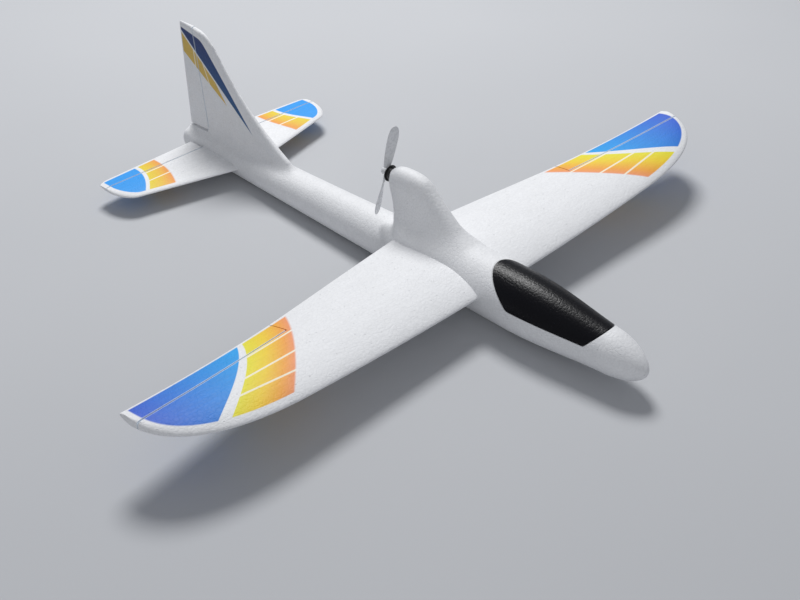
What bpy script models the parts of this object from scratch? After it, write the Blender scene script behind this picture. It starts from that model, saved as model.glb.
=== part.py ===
"""A moulded-foam hand-launch glider with a small electric motor on a pylon behind the wing.

Metres, +Z up, nose towards -Y, wing span along X. Shapes are written in the airframe's own
datum: Y = 0 and Z = 0 at the trailing edge of the wing root. The airframe empty then puts the
middle of the length over the origin and the flat belly tray on Z = 0.
"""

from math import atan, cos, exp, pi, radians, sin, sqrt, tan

import bmesh
import bpy
from mathutils import Matrix, Vector

# ---- Driving dimensions -------------------------------------------------------------------

CLEARANCE = 0.0003              # between any two touching pieces

WING_SPAN = 0.4814
WING_CHORD = 0.0823             # at the root
WING_TE_FORWARD = 0.0324        # trailing edge at the tip, ahead of the root's
WING_THICKNESS = 0.0070
WING_CAMBER = 0.0045
WING_TIP_THICKNESS = 0.0050
WING_TIP_RISE = 0.0133          # dihedral, curved up like a parabola
WING_TE_THICKNESS = 0.0016
TIP_ROUND_SPAN = 0.0907         # length along the span of the rounded tip
TIP_CORNER_FORWARD = 0.0346     # tip corner, ahead of the root's trailing edge
TIP_ROUND_POWER = 2.5
INCIDENCE = radians(1.7)        # of the wing and the tailplane

NOSE_LENGTH = 0.194             # nose tip, ahead of the wing root's trailing edge
TAIL_LENGTH = 0.242             # boom end, behind it
NOSE_CONE_LENGTH = 0.0274
NOSE_CONE_RADIUS = 0.0138
NOSE_POWER = 1.75
POD_RADIUS = 0.020
POD_START = 0.100               # where the pod is full, ahead of the datum
POD_END = 0.060
BOOM_ROOT_RADIUS = 0.0163
BOOM_TAIL_RADIUS = 0.0112
BOOM_CAP_LENGTH = 0.008
NOSE_DROP = 0.0088              # height of the centre line below the datum at each station
CONE_DROP = 0.0060
POD_DROP = 0.0050
BOOM_ROOT_DROP = 0.0104
BOOM_TAIL_DROP = 0.0146

PYLON_TOP = 0.0479              # top of the motor head above the datum
PYLON_HALF_WIDTH = 0.0078
PYLON_FLARE_HALF_WIDTH = 0.0185
PYLON_POWER = 2.6               # squareness of the pylon's slices

MOTOR_AXIS_HEIGHT = 0.0388
MOTOR_RADIUS = 0.0035
MOTOR_LENGTH = 0.016
MOTOR_CAP_LENGTH = 0.0035
MOTOR_REAR = 0.0122             # rear face of the motor, behind the datum
SLEEVE_WALL = 0.0008
SLEEVE_RIM_RADIUS = 0.0056
SLEEVE_RIM_THICKNESS = 0.0008
SHAFT_RADIUS = 0.0005
SHAFT_LENGTH = 0.010
PROPELLER_RADIUS = 0.0303
PROPELLER_PLANE = 0.0180        # behind the datum
PROPELLER_PITCH = 0.045
PROPELLER_CHORD = 0.0078
PROPELLER_THICKNESS = 0.0016
PROPELLER_REST_ANGLE = radians(72)
HUB_RADIUS = 0.0026
HUB_LENGTH = 0.0050

FIN_HEIGHT = 0.0797             # top of the fin above the datum
FIN_TE = TAIL_LENGTH - 0.0057   # trailing edge, behind the datum
FIN_START = FIN_TE - 0.1313     # front end of the strake
FIN_THICKNESS = 0.0065
FIN_TOP_THICKNESS = 0.0045
FIN_FLARE = 0.0035              # how far the foot of the fin spreads over the boom
RUDDER_CHORD = 0.0235           # at the foot
RUDDER_TOP_CHORD = 0.0166
RUDDER_FOOT_GAP = 0.0012        # over the boom

TAIL_SPAN = 0.1980
TAIL_ROOT_TE = TAIL_LENGTH - 0.0181  # trailing edge on the centre line
TAIL_CHORD = 0.0612             # on the centre line
TAIL_DROP = 0.0121              # trailing edge below the datum
TAIL_TE_SWEEP = 0.0512
TAIL_LE_SWEEP = 0.2500
TAIL_THICKNESS = 0.0048
TAIL_CORNER = 0.0125            # rounding of the front tip corners
ELEVATOR_CHORD = 0.0152         # on the centre line
ELEVATOR_START = 0.0130         # from the centre line

AILERON_START = 0.1300          # from the centre line
AILERON_CHORD = 0.0140

HINGE_GAP = 0.0003              # between the two noses at mid thickness
HINGE_SLOPE = 0.16              # half opening of the crease per metre of depth
END_GAP = 0.0006                # beside a control surface

CANOPY_FRONT = 0.1655           # all ahead of the datum
CANOPY_FRONT_FOOT = 0.1575
CANOPY_REAR_FOOT = 0.1040
CANOPY_REAR = 0.0790
CANOPY_FOOT_DROP = 0.0010       # lower edge, below the datum
CANOPY_REAR_HEIGHT = 0.0158
CANOPY_FRONT_HEIGHT = 0.0085
CANOPY_WALL = 0.0035
CANOPY_RIM_DEPTH = 0.0030
CANOPY_RIM_WALL = 0.0022

BAY_FRONT = 0.1510              # ahead of the datum
BAY_LENGTH = 0.0455
BAY_WIDTH = 0.0190
BAY_DROP = 0.0130               # floor of the bay below the datum

TRAY_FRONT = 0.0980             # front of the belly tray, ahead of the datum
TRAY_LENGTH = 0.0380
TRAY_WIDTH = 0.0140
TRAY_HEIGHT = 0.0120
TRAY_WALL = 0.0009
TRAY_FLOOR = 0.0012
BELLY_DROP = 0.0268             # flat underside of the tray, below the datum
LEDGE_WIDTH = 0.0010
LEDGE_HEIGHT = 0.0052           # top of the board ledges above the belly
POCKET_DROP = 0.0100            # roof of the tray's pocket below the datum

BOARD_LENGTH = 0.0330
BOARD_THICKNESS = 0.0010
SWITCH_LENGTH = 0.0085
SWITCH_WIDTH = 0.0036
KNOB_LENGTH = 0.0022
KNOB_WIDTH = 0.0018
KNOB_TRAVEL = 0.0020
KNOB_RECESS = 0.0002            # tip of the knob above the tray's underside
SOCKET_RADIUS = 0.0026
SOCKET_BORE_RADIUS = 0.0013
LED_RADIUS = 0.0015

CELL_LENGTH = 0.0300
CELL_WIDTH = 0.0165
CELL_HEIGHT = 0.0060
TAPE_THICKNESS = 0.0008

WIRE_RADIUS = 0.00045
TUNNEL_RADIUS = 0.0014
TUNNEL_MOUTH_DROP = 0.0045      # the motor's wire tunnel in the bay's rear wall, below the datum
TUNNEL_BEND = (-0.0585, 0.0115)  # (y, z) where the tunnel turns up into the pylon
LEAD_TUNNEL_RADIUS = 0.0018     # from the bay to the belly tray's pocket
LEAD_TUNNEL_DROP = 0.0116

SIDES = 32                      # around the fuselage
PI = pi

# ---- Scene and materials --------------------------------------------------------------------

for old in list(bpy.data.objects):
    bpy.data.objects.remove(old, do_unlink=True)


def material(name, colour, roughness, metallic=0.0):
    made = bpy.data.materials.new(name)
    made.use_nodes = True
    shader = made.node_tree.nodes["Principled BSDF"]
    shader.inputs["Base Color"].default_value = (*colour, 1.0)
    shader.inputs["Roughness"].default_value = roughness
    shader.inputs["Metallic"].default_value = metallic
    return made


FOAM = (0.82, 0.82, 0.83)
BLUE = (0.02, 0.25, 0.75)

# ---- Profiles -------------------------------------------------------------------------------


def smooth_curve(knots, at):
    """A monotone cubic through (place, value) knots, held level past both ends."""
    if at <= knots[0][0]:
        return knots[0][1]
    if at >= knots[-1][0]:
        return knots[-1][1]
    steps = [(b[1] - a[1]) / (b[0] - a[0]) for a, b in zip(knots, knots[1:])]
    slopes = [steps[0]]
    for before, after in zip(steps, steps[1:]):
        slopes.append(0.0 if before * after <= 0 else 2 * before * after / (before + after))
    slopes.append(steps[-1])
    for i, (a, b) in enumerate(zip(knots, knots[1:])):
        if at <= b[0]:
            width = b[0] - a[0]
            t = (at - a[0]) / width
            rise = a[1] * (1 + 2 * t) * (1 - t) ** 2 + b[1] * t * t * (3 - 2 * t)
            return rise + width * (slopes[i] * t * (1 - t) ** 2 - slopes[i + 1] * t * t * (1 - t))
    return knots[-1][1]


NOSE_Y = -NOSE_LENGTH
TAIL_Y = TAIL_LENGTH
CONE_Y = NOSE_Y + NOSE_CONE_LENGTH
CAP_Y = TAIL_Y - BOOM_CAP_LENGTH

RADIUS_KNOTS = [
    (CONE_Y, NOSE_CONE_RADIUS),
    (-POD_START, POD_RADIUS),
    (-POD_END, POD_RADIUS),
    (0.0, BOOM_ROOT_RADIUS),
    (CAP_Y, BOOM_TAIL_RADIUS),
]
DROP_KNOTS = [
    (NOSE_Y, NOSE_DROP),
    (CONE_Y, CONE_DROP),
    (-POD_START, POD_DROP),
    (-POD_END, POD_DROP),
    (0.0, BOOM_ROOT_DROP),
    (CAP_Y, BOOM_TAIL_DROP),
]


def fuselage_radius(y):
    if y < CONE_Y:
        share = min((CONE_Y - y) / NOSE_CONE_LENGTH, 1.0)
        return NOSE_CONE_RADIUS * (1 - share**NOSE_POWER) ** (1 / NOSE_POWER)
    if y > CAP_Y:
        share = min((y - CAP_Y) / BOOM_CAP_LENGTH, 1.0)
        return BOOM_TAIL_RADIUS * sqrt(1 - share * share)
    return smooth_curve(RADIUS_KNOTS, y)


def fuselage_centre(y):
    return -smooth_curve(DROP_KNOTS, y)


def fuselage_top(y):
    return fuselage_centre(y) + fuselage_radius(y)


# ---- Mesh tools -----------------------------------------------------------------------------

AIRFRAME = bpy.data.objects.new("airframe", None)
bpy.context.collection.objects.link(AIRFRAME)
AIRFRAME.location = (0.0, -(NOSE_Y + TAIL_Y) / 2, BELLY_DROP)


def loft(rings):
    """A closed mesh through rings of equal length, with flat ends."""
    bm = bmesh.new()
    rows = [[bm.verts.new(p) for p in ring] for ring in rings]
    for a, b in zip(rows, rows[1:]):
        for i in range(len(a)):
            j = (i + 1) % len(a)
            bm.faces.new((a[i], a[j], b[j], b[i]))
    bm.faces.new(rows[0][::-1])
    bm.faces.new(rows[-1])
    bmesh.ops.recalc_face_normals(bm, faces=bm.faces)
    return bm


def prism(outline, direction):
    """The closed outline, a list of points, pushed along a direction."""
    push = Vector(direction)
    return loft([[Vector(p) for p in outline], [Vector(p) + push for p in outline]])


def box(low, high, rounding=0.0):
    bm = bmesh.new()
    bmesh.ops.create_cube(bm, size=1.0)
    size = Vector(high) - Vector(low)
    middle = (Vector(high) + Vector(low)) / 2
    bmesh.ops.scale(bm, vec=size, verts=bm.verts)
    bmesh.ops.translate(bm, vec=middle, verts=bm.verts)
    if rounding:
        bmesh.ops.bevel(bm, geom=bm.edges[:], offset=rounding, segments=3, affect="EDGES")
    return bm


def turned(profile, centre, sides=24):
    """Closed rings (y, radius) turned about the Y axis through centre."""
    rings = []
    for y, radius in profile:
        ring = []
        for i in range(sides):
            angle = 2 * PI * i / sides
            ring.append(Vector((radius * sin(angle), y, radius * cos(angle))) + Vector(centre))
        rings.append(ring)
    return loft(rings)


def upright(radius, low, high, centre, sides=24):
    """A cylinder along Z."""
    rings = []
    for z in (low, high):
        turn = [2 * PI * i / sides for i in range(sides)]
        rings.append([Vector((centre[0] + radius * cos(a), centre[1] + radius * sin(a), z)) for a in turn])
    return loft(rings)


def add(name, bm, look=None, origin=(0.0, 0.0, 0.0)):
    """One object from a mesh given in the datum, with its own origin."""
    bmesh.ops.translate(bm, vec=-Vector(origin), verts=bm.verts)
    mesh = bpy.data.meshes.new(name)
    bm.to_mesh(mesh)
    bm.free()
    mesh.shade_smooth()
    mesh.set_sharp_from_angle(angle=radians(35))
    made = bpy.data.objects.new(name, mesh)
    bpy.context.collection.objects.link(made)
    made.parent = AIRFRAME
    made.location = origin
    if look is None:
        made.hide_render = True
        made.display_type = "WIRE"
    else:
        mesh.materials.append(material(name, *look))
    return made


def combine(target, other, operation):
    step = target.modifiers.new(operation.lower() + "_" + other.name, "BOOLEAN")
    step.operation = operation
    step.object = other
    step.solver = "EXACT"


def cut(target, *cutters):
    for cutter in cutters:
        combine(target, cutter, "DIFFERENCE")


# ---- Wing -----------------------------------------------------------------------------------

HALF_SPAN = WING_SPAN / 2
SECTION_STEPS = 11


def section_ring(x, le, te, thickness, camber, te_thickness, lift, pitch, grow):
    """One aerofoil ring at x. It starts at the trailing edge and runs over the top to the nose."""
    le -= grow
    te += grow
    chord = te - le
    points = []
    for side in (1, -1):
        for i in range(SECTION_STEPS + 1):
            share = (1 + cos(PI * i / SECTION_STEPS)) / 2
            if side < 0:
                share = 1 - share
            if side < 0 and i == 0:
                continue
            root = sqrt(max(share, 0.0))
            swell = 2.969 * root - 1.26 * share - 3.516 * share**2 + 2.843 * share**3 - 1.036 * share**4
            half = thickness / 2 * swell + share * te_thickness / 2 + grow * min(1.0, 4 * root)
            middle = 4 * camber * share * (1 - share)
            points.append((le + share * chord, middle + side * half))
    return [Vector((x, y, z + y * tan(pitch) + lift)) for y, z in points]


WING_TE_KNOTS = [
    # (share of the half span, share of WING_TE_FORWARD)
    (0.0, 0.0),
    (0.25, 0.24),
    (0.415, 0.43),
    (0.54, 0.585),
    (0.665, 0.72),
    (0.83, 0.873),
    (1.0, 1.0),
]


def wing_edges(x):
    """Leading and trailing edge at a distance x from the centre line."""
    te = -WING_TE_FORWARD * smooth_curve(WING_TE_KNOTS, x / HALF_SPAN)
    corner = -TIP_CORNER_FORWARD
    into = max(0.0, (x - (HALF_SPAN - TIP_ROUND_SPAN)) / TIP_ROUND_SPAN)
    depth = WING_CHORD + corner
    curve = (1 - min(into, 1.0) ** TIP_ROUND_POWER) ** (1 / TIP_ROUND_POWER)
    return corner - depth * curve, te


def wing_lift(x):
    return WING_TIP_RISE * (x / HALF_SPAN) ** 2


def wing_ring(x, grow=0.0):
    out = abs(x)
    le, te = wing_edges(out)
    chord = te - le
    share = out / HALF_SPAN
    thickness = WING_THICKNESS + (WING_TIP_THICKNESS - WING_THICKNESS) * share
    thickness = min(thickness, 0.45 * chord)
    camber = WING_CAMBER * min(1.0, chord / WING_CHORD) ** 1.5
    te_thickness = min(WING_TE_THICKNESS, 0.3 * chord)
    return section_ring(x, le, te, thickness, camber, te_thickness, wing_lift(out), INCIDENCE, grow)


def wing_stations():
    """Evenly spaced inboard, then closer and closer round the tip."""
    inner = HALF_SPAN - TIP_ROUND_SPAN
    places = [inner * i / 5 for i in range(6)]
    places += [inner + TIP_ROUND_SPAN * sin(PI / 2 * i / 11) for i in range(1, 11)]
    places.append(HALF_SPAN - 0.0003)
    return [-p for p in places[:0:-1]] + places


def wing_blank(grow=0.0):
    return loft([wing_ring(x, grow) for x in wing_stations()])


# ---- Tailplane ------------------------------------------------------------------------------

HALF_TAIL = TAIL_SPAN / 2


def tail_ring(x, grow=0.0):
    out = abs(x)
    te = TAIL_ROOT_TE - TAIL_TE_SWEEP * out
    le = TAIL_ROOT_TE - TAIL_CHORD + TAIL_LE_SWEEP * out
    into = max(0.0, out - (HALF_TAIL - TAIL_CORNER)) / TAIL_CORNER
    le += TAIL_CORNER * 1.5 * (1 - sqrt(max(0.0, 1 - into * into)))
    te -= 0.0025 * into**4
    thickness = min(TAIL_THICKNESS, 0.4 * (te - le)) * (1 - 0.25 * out / HALF_TAIL)
    thickness *= 1 - 0.45 * into**3
    drop = -TAIL_DROP - TAIL_ROOT_TE * tan(INCIDENCE)
    return section_ring(x, le, te, thickness, 0.0, 0.35 * thickness, drop, INCIDENCE, grow)


def tail_stations():
    inner = HALF_TAIL - TAIL_CORNER
    places = [inner * i / 3 for i in range(4)]
    places += [inner + TAIL_CORNER * sin(PI / 2 * i / 6) for i in range(1, 6)]
    places.append(HALF_TAIL - 0.0002)
    return [-p for p in places[:0:-1]] + places


def tail_blank(grow=0.0):
    return loft([tail_ring(x, grow) for x in tail_stations()])


# ---- Hinged surfaces ------------------------------------------------------------------------


def hinge_region(start, end, height, reach, moving):
    """What lies behind a hinge line. The fixed piece and the moving piece both come to a blunt
    nose at mid thickness, so a foam crease opens a little towards each face."""
    along = (Vector(end) - Vector(start)).normalized()
    back = Vector((0.0, 1.0, 0.0))
    back = (back - along * back.dot(along)).normalized()
    up = along.cross(back)
    sign = 1 if moving else -1
    nose = sign * HINGE_GAP / 2
    edge = sign * (HINGE_GAP / 2 + HINGE_SLOPE * height)
    outline = [(nose, 0.0), (edge, height), (reach, height), (reach, -height), (edge, -height)]
    ring = [Vector(start) + back * u + up * v for u, v in outline]
    return prism(ring, Vector(end) - Vector(start))


def wing_hinge_point(x):
    """On the aileron's hinge line, at mid thickness."""
    out = abs(x)
    le, te = wing_edges(out)
    y = te - AILERON_CHORD
    share = (y - le) / (te - le)
    camber = WING_CAMBER * min(1.0, (te - le) / WING_CHORD) ** 1.5
    return Vector((x, y, y * tan(INCIDENCE) + 4 * camber * share * (1 - share) + wing_lift(out)))


def aileron_hinge(side):
    """(inner point, outer point) of one hinge line, in the datum."""
    inner = wing_hinge_point(side * AILERON_START)
    outer = wing_hinge_point(side * (HALF_SPAN - 0.012))
    return inner, outer


def tail_hinge_point(x):
    y = TAIL_ROOT_TE - ELEVATOR_CHORD
    return Vector((x, y, -TAIL_DROP - (TAIL_ROOT_TE - y) * tan(INCIDENCE)))


def elevator_hinge(side):
    return tail_hinge_point(side * ELEVATOR_START), tail_hinge_point(side * (HALF_TAIL - 0.006))


def rudder_foot(y):
    """Lower edge of the rudder, just over the boom."""
    return fuselage_top(y) + RUDDER_FOOT_GAP


def rudder_hinge():
    foot_y = FIN_TE - RUDDER_CHORD
    top_y = FIN_TE - RUDDER_TOP_CHORD
    return Vector((0.0, foot_y, rudder_foot(foot_y))), Vector((0.0, top_y, FIN_HEIGHT))


def spread(start, end, before, after):
    """The same line, made longer by the two lengths."""
    along = (end - start).normalized()
    return start - along * before, end + along * after


# ---- Fin ------------------------------------------------------------------------------------

FIN_FOOT = fuselage_centre(FIN_START + 0.05)
FIN_EDGE_KNOTS = [
    (FIN_FOOT, FIN_START - 0.012),
    (0.0040, FIN_START + 0.0115),
    (0.0199, FIN_TE - 0.0925),
    (0.0391, FIN_TE - 0.0675),
    (FIN_HEIGHT - 0.0226, FIN_TE - 0.0503),
    (FIN_HEIGHT - 0.0080, FIN_TE - 0.0378),
    (FIN_HEIGHT - 0.0022, FIN_TE - 0.0290),
    (FIN_HEIGHT - 0.0004, FIN_TE - 0.0200),
    (FIN_HEIGHT, FIN_TE - 0.0130),
]


def fin_ring(z):
    le = smooth_curve(FIN_EDGE_KNOTS, z)
    te = FIN_TE - 0.0004 * (z / FIN_HEIGHT)
    share = max(0.0, z) / FIN_HEIGHT
    half = (FIN_THICKNESS + (FIN_TOP_THICKNESS - FIN_THICKNESS) * share) / 2
    over_boom = z - fuselage_top(FIN_TE - RUDDER_CHORD)
    flare = FIN_FLARE * exp(-max(over_boom, 0.0) / FIN_FLARE)
    top = max(0.0, (z - (FIN_HEIGHT - 0.003)) / 0.003)
    half *= sqrt(max(0.02, 1 - top * top))
    chord = te - le
    nose = min(0.30, 0.012 / chord)
    points = []
    for side in (1, -1):
        for i in range(10):
            u = i / 9 if side < 0 else 1 - i / 9
            if side < 0 and i == 0:
                continue
            u = u * u
            rounding = sqrt(max(0.0, 1 - (1 - min(1.0, u / nose)) ** 2))
            taper = 1 - 0.55 * max(0.0, (u - nose) / (1 - nose))
            width = (half * taper + flare * (1 - u)) * rounding
            points.append(Vector((side * width, le + u * chord, z)))
    return points


def fin_blank():
    heights = [FIN_FOOT, -0.004, -0.001, 0.002, 0.006, 0.012, 0.020, 0.030, 0.041]
    depths = [0.0267, 0.0157, 0.008, 0.004, 0.002, 0.001, 0.0003]
    heights += [FIN_HEIGHT - depth for depth in depths]
    return loft([fin_ring(z) for z in heights])


# ---- Pylon ----------------------------------------------------------------------------------

# Height, leading edge, trailing edge and half width of the pylon's slices, in the datum.
PYLON_KNOTS = [
    (-0.0060, -0.0860, 0.0045, 0.97 * PYLON_FLARE_HALF_WIDTH),
    (0.0040, -0.0800, 0.0055, PYLON_FLARE_HALF_WIDTH),
    (0.0100, -0.0700, 0.0065, 0.0160),
    (0.0150, -0.0588, 0.0074, 0.0120),
    (0.0209, -0.0470, 0.0086, 0.0098),
    (0.0256, -0.0413, 0.0100, 0.0088),
    (0.0322, -0.0340, 0.0122, 0.0081),
    (PYLON_TOP - 0.0109, -0.0287, 0.0128, PYLON_HALF_WIDTH),
    (PYLON_TOP - 0.0067, -0.0242, 0.0120, 0.92 * PYLON_HALF_WIDTH),
    (PYLON_TOP - 0.0031, -0.0201, 0.0090, 0.73 * PYLON_HALF_WIDTH),
    (PYLON_TOP - 0.0010, -0.0156, 0.0045, 0.45 * PYLON_HALF_WIDTH),
    (PYLON_TOP, -0.0098, -0.0030, 0.12 * PYLON_HALF_WIDTH),
]
PYLON_SLICES = 20


def rounded(wave, power):
    """A sine or cosine drawn out towards a squarer shape."""
    return (1 if wave > 0 else -1) * abs(wave) ** (2 / power)


def pylon_blank():
    low, high = PYLON_KNOTS[0][0], PYLON_KNOTS[-1][0]
    rings = []
    for i in range(PYLON_SLICES + 1):
        z = low + (high - low) * sin(PI / 2 * i / PYLON_SLICES)
        le, te, half = (smooth_curve([(k[0], k[n]) for k in PYLON_KNOTS], z) for n in (1, 2, 3))
        middle, reach = (le + te) / 2, (te - le) / 2
        ring = []
        for j in range(SIDES):
            angle = 2 * PI * j / SIDES
            across = half * rounded(sin(angle), PYLON_POWER)
            along = reach * rounded(cos(angle), PYLON_POWER)
            ring.append(Vector((across, middle + along, z)))
        rings.append(ring)
    return loft(rings)


# ---- Fuselage -------------------------------------------------------------------------------

BAY_LOW_Y = -BAY_FRONT
BAY_HIGH_Y = BAY_LOW_Y + BAY_LENGTH
BELLY_Z = -BELLY_DROP
TRAY_LOW_Y = -TRAY_FRONT
TRAY_HIGH_Y = TRAY_LOW_Y + TRAY_LENGTH
TRAY_TOP_Z = BELLY_Z + TRAY_HEIGHT
MOTOR_FRONT_Y = MOTOR_REAR - MOTOR_LENGTH
SLEEVE_RADIUS = MOTOR_RADIUS + CLEARANCE + SLEEVE_WALL
SLEEVE_FRONT_Y = MOTOR_FRONT_Y + 0.002
SLEEVE_REAR_Y = MOTOR_REAR + 0.0012
BORE_RADIUS = SLEEVE_RADIUS + CLEARANCE
BORE_FRONT_Y = MOTOR_FRONT_Y - 0.0025
MOTOR_CENTRE = (0.0, 0.0, MOTOR_AXIS_HEIGHT)
TUNNEL_END = (BORE_FRONT_Y + 0.003, MOTOR_AXIS_HEIGHT - 0.0018)


def fuselage_stations():
    nose = [NOSE_Y + NOSE_CONE_LENGTH * (1 - cos(PI / 2 * i / 9)) for i in range(1, 9)]
    middle = [CONE_Y, -0.136, -0.118, -POD_START, -0.080, -POD_END, -0.040, -0.020, 0.0]
    boom = [CAP_Y * i / 6 for i in range(1, 7)]
    cap = [CAP_Y + BOOM_CAP_LENGTH * sin(PI / 2 * i / 6) for i in range(1, 6)]
    return [NOSE_Y + 0.0001] + nose + middle + boom + cap + [TAIL_Y - 0.0001]


def fuselage_ring(y, grow=0.0):
    radius = max(fuselage_radius(y) + grow, 0.0004)
    centre = fuselage_centre(y)
    turn = [2 * PI * i / SIDES for i in range(SIDES)]
    return [Vector((radius * sin(a), y, centre + radius * cos(a))) for a in turn]


def canopy_block(grow):
    """The space of the canopy in side view, pushed out by grow on every edge, across the pod."""
    foot = -CANOPY_FOOT_DROP - grow
    high = 1.2 * POD_RADIUS
    front_lean = (CANOPY_FRONT - CANOPY_FRONT_FOOT) / (CANOPY_FRONT_HEIGHT + CANOPY_FOOT_DROP)
    rear_lean = (CANOPY_REAR_FOOT - CANOPY_REAR) / (CANOPY_REAR_HEIGHT + CANOPY_FOOT_DROP)
    front_foot = -CANOPY_FRONT_FOOT - grow * sqrt(1 + front_lean**2)
    rear_foot = -CANOPY_REAR_FOOT + grow * sqrt(1 + rear_lean**2)
    half = 1.5 * POD_RADIUS
    outline = [
        (-half, front_foot, foot),
        (-half, rear_foot, foot),
        (-half, rear_foot + rear_lean * (high - foot), high),
        (-half, front_foot - front_lean * (high - foot), high),
    ]
    return prism(outline, (2 * half, 0.0, 0.0))


def rod_blank(start, end, radius, sides=12):
    """A straight round rod between two points on the centre plane."""
    start, end = Vector(start), Vector(end)
    up = (end - start).normalized().cross(Vector((1.0, 0.0, 0.0)))
    turn = [2 * PI * i / sides for i in range(sides)]
    rings = []
    for place in (start, end):
        rings.append([place + Vector((radius * cos(a), 0, 0)) + up * radius * sin(a) for a in turn])
    return loft(rings)


def tunnel_points():
    """Mouth, bend and end of the motor's wire tunnel."""
    return (
        Vector((0.0, BAY_HIGH_Y, -TUNNEL_MOUTH_DROP)),
        Vector((0.0, *TUNNEL_BEND)),
        Vector((0.0, *TUNNEL_END)),
    )


def make_fuselage():
    fuselage = add("fuselage", loft([fuselage_ring(y) for y in fuselage_stations()]), (FOAM, 0.75))
    combine(fuselage, add("pylon_blank", pylon_blank()), "UNION")
    fin = add("fin_blank", fin_blank())
    cut(fin, add("rudder_space", rudder_region(moving=False)))
    combine(fuselage, fin, "UNION")

    mouth, bend, end = tunnel_points()
    first = (bend - mouth).normalized()
    second = (end - bend).normalized()
    half_bay = BAY_WIDTH / 2
    half_pocket = TRAY_WIDTH / 2 + CLEARANCE
    bay_back = Vector((0.0, BAY_HIGH_Y - 0.002, -LEAD_TUNNEL_DROP))
    pocket_front = Vector((0.0, TRAY_LOW_Y + 0.001, -LEAD_TUNNEL_DROP))
    cutters = {
        "wing_slot": loft([wing_ring(x, CLEARANCE) for x in (-0.030, 0.0, 0.030)]),
        "tail_slot": loft([tail_ring(x, CLEARANCE) for x in (-0.020, 0.0, 0.020)]),
        "canopy_seat": canopy_block(CLEARANCE),
        "bay": box((-half_bay, BAY_LOW_Y, -BAY_DROP), (half_bay, BAY_HIGH_Y, POD_RADIUS)),
        "tray_pocket": box(
            (-half_pocket, TRAY_LOW_Y - CLEARANCE, 2 * BELLY_Z),
            (half_pocket, TRAY_HIGH_Y + CLEARANCE, -POCKET_DROP),
        ),
        "motor_bore": turned([(BORE_FRONT_Y, BORE_RADIUS), (PROPELLER_PLANE, BORE_RADIUS)], MOTOR_CENTRE),
        "wire_tunnel_low": rod_blank(mouth - first * 0.002, bend + first * 0.0008, TUNNEL_RADIUS),
        "wire_tunnel_high": rod_blank(bend - second * 0.0008, end, TUNNEL_RADIUS),
        "lead_tunnel": rod_blank(bay_back, pocket_front, LEAD_TUNNEL_RADIUS),
    }
    cut(fuselage, *(add(name, shape) for name, shape in cutters.items()))


def make_canopy():
    """A crescent of foam on the pod's own surface, hollow below, with a rim that drops into the bay."""
    foot = -CANOPY_FOOT_DROP
    origin = (0.0, (BAY_LOW_Y + BAY_HIGH_Y) / 2, foot)
    ys = [y for y in fuselage_stations() if NOSE_Y + 0.005 < y < -0.5 * POD_END]
    shell = add("canopy", loft([fuselage_ring(y) for y in ys]), ((0.01, 0.01, 0.012), 0.25), origin)
    combine(shell, add("canopy_limits", canopy_block(0.0)), "INTERSECT")
    rim = BAY_WIDTH / 2 - CLEARANCE
    low_y, high_y = BAY_LOW_Y + CLEARANCE, BAY_HIGH_Y - CLEARANCE
    rim_block = box((-rim, low_y, foot - CANOPY_RIM_DEPTH), (rim, high_y, foot + CANOPY_WALL / 2))
    combine(shell, add("canopy_rim", rim_block), "UNION")
    hollow = add("canopy_hollow", loft([fuselage_ring(y, -CANOPY_WALL) for y in ys]))
    inner = rim - CANOPY_RIM_WALL
    room = box(
        (-inner, low_y + CANOPY_RIM_WALL, foot - 2 * CANOPY_RIM_DEPTH),
        (inner, high_y - CANOPY_RIM_WALL, POD_RADIUS),
    )
    combine(hollow, add("canopy_hollow_sides", room), "INTERSECT")
    passage = box(
        (-2 * TUNNEL_RADIUS, high_y - 0.008, foot - 2 * CANOPY_RIM_DEPTH),
        (2 * TUNNEL_RADIUS, BAY_HIGH_Y + 0.004, -TUNNEL_MOUTH_DROP + 2 * TUNNEL_RADIUS),
    )
    cut(shell, hollow, add("canopy_wire_passage", passage))


# ---- Wing, tailplane and control surfaces ---------------------------------------------------

SIDE_NAMES = {-1: "right", 1: "left"}


def mirrored(bm):
    bmesh.ops.scale(bm, vec=(-1.0, 1.0, 1.0), verts=bm.verts)
    bmesh.ops.recalc_face_normals(bm, faces=bm.faces)
    return bm


def surface_region(hinge, side, end_gap, moving):
    """The room behind the hinge line of a wing or tail surface, out past the tip."""
    inner, outer = spread(*hinge(1), 0.0 if moving else end_gap, HALF_SPAN - AILERON_START)
    region = hinge_region(inner, outer, 4 * WING_THICKNESS, 2 * RUDDER_CHORD, moving)
    return region if side > 0 else mirrored(region)


def make_surface(name, blank, parent, hinge, side, end_gap, look):
    """Cuts one control surface off its parent, and makes it from the same blank."""
    cut(parent, add(name + "_space", surface_region(hinge, side, end_gap, moving=False)))
    surface = add(name, blank(), look, hinge(side)[0])
    combine(surface, add(name + "_limits", surface_region(hinge, side, end_gap, moving=True)), "INTERSECT")


def make_wing():
    wing = add("wing", wing_blank(), (FOAM, 0.75))
    for side, word in SIDE_NAMES.items():
        make_surface("aileron_" + word, wing_blank, wing, aileron_hinge, side, END_GAP, (BLUE, 0.6))


def make_tailplane():
    tail = add("tailplane", tail_blank(), (FOAM, 0.75))
    inside_boom = ELEVATOR_START - 0.9 * BOOM_TAIL_RADIUS
    for side, word in SIDE_NAMES.items():
        make_surface("elevator_" + word, tail_blank, tail, elevator_hinge, side, inside_boom, (FOAM, 0.75))


def rudder_region(moving):
    foot, top = spread(*rudder_hinge(), 0.0 if moving else RUDDER_FOOT_GAP - CLEARANCE, FIN_HEIGHT)
    return hinge_region(foot, top, 2 * FIN_THICKNESS, 2 * RUDDER_CHORD, moving)


def make_rudder():
    rudder = add("rudder", fin_blank(), (FOAM, 0.75), rudder_hinge()[0])
    combine(rudder, add("rudder_limits", rudder_region(moving=True)), "INTERSECT")


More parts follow.
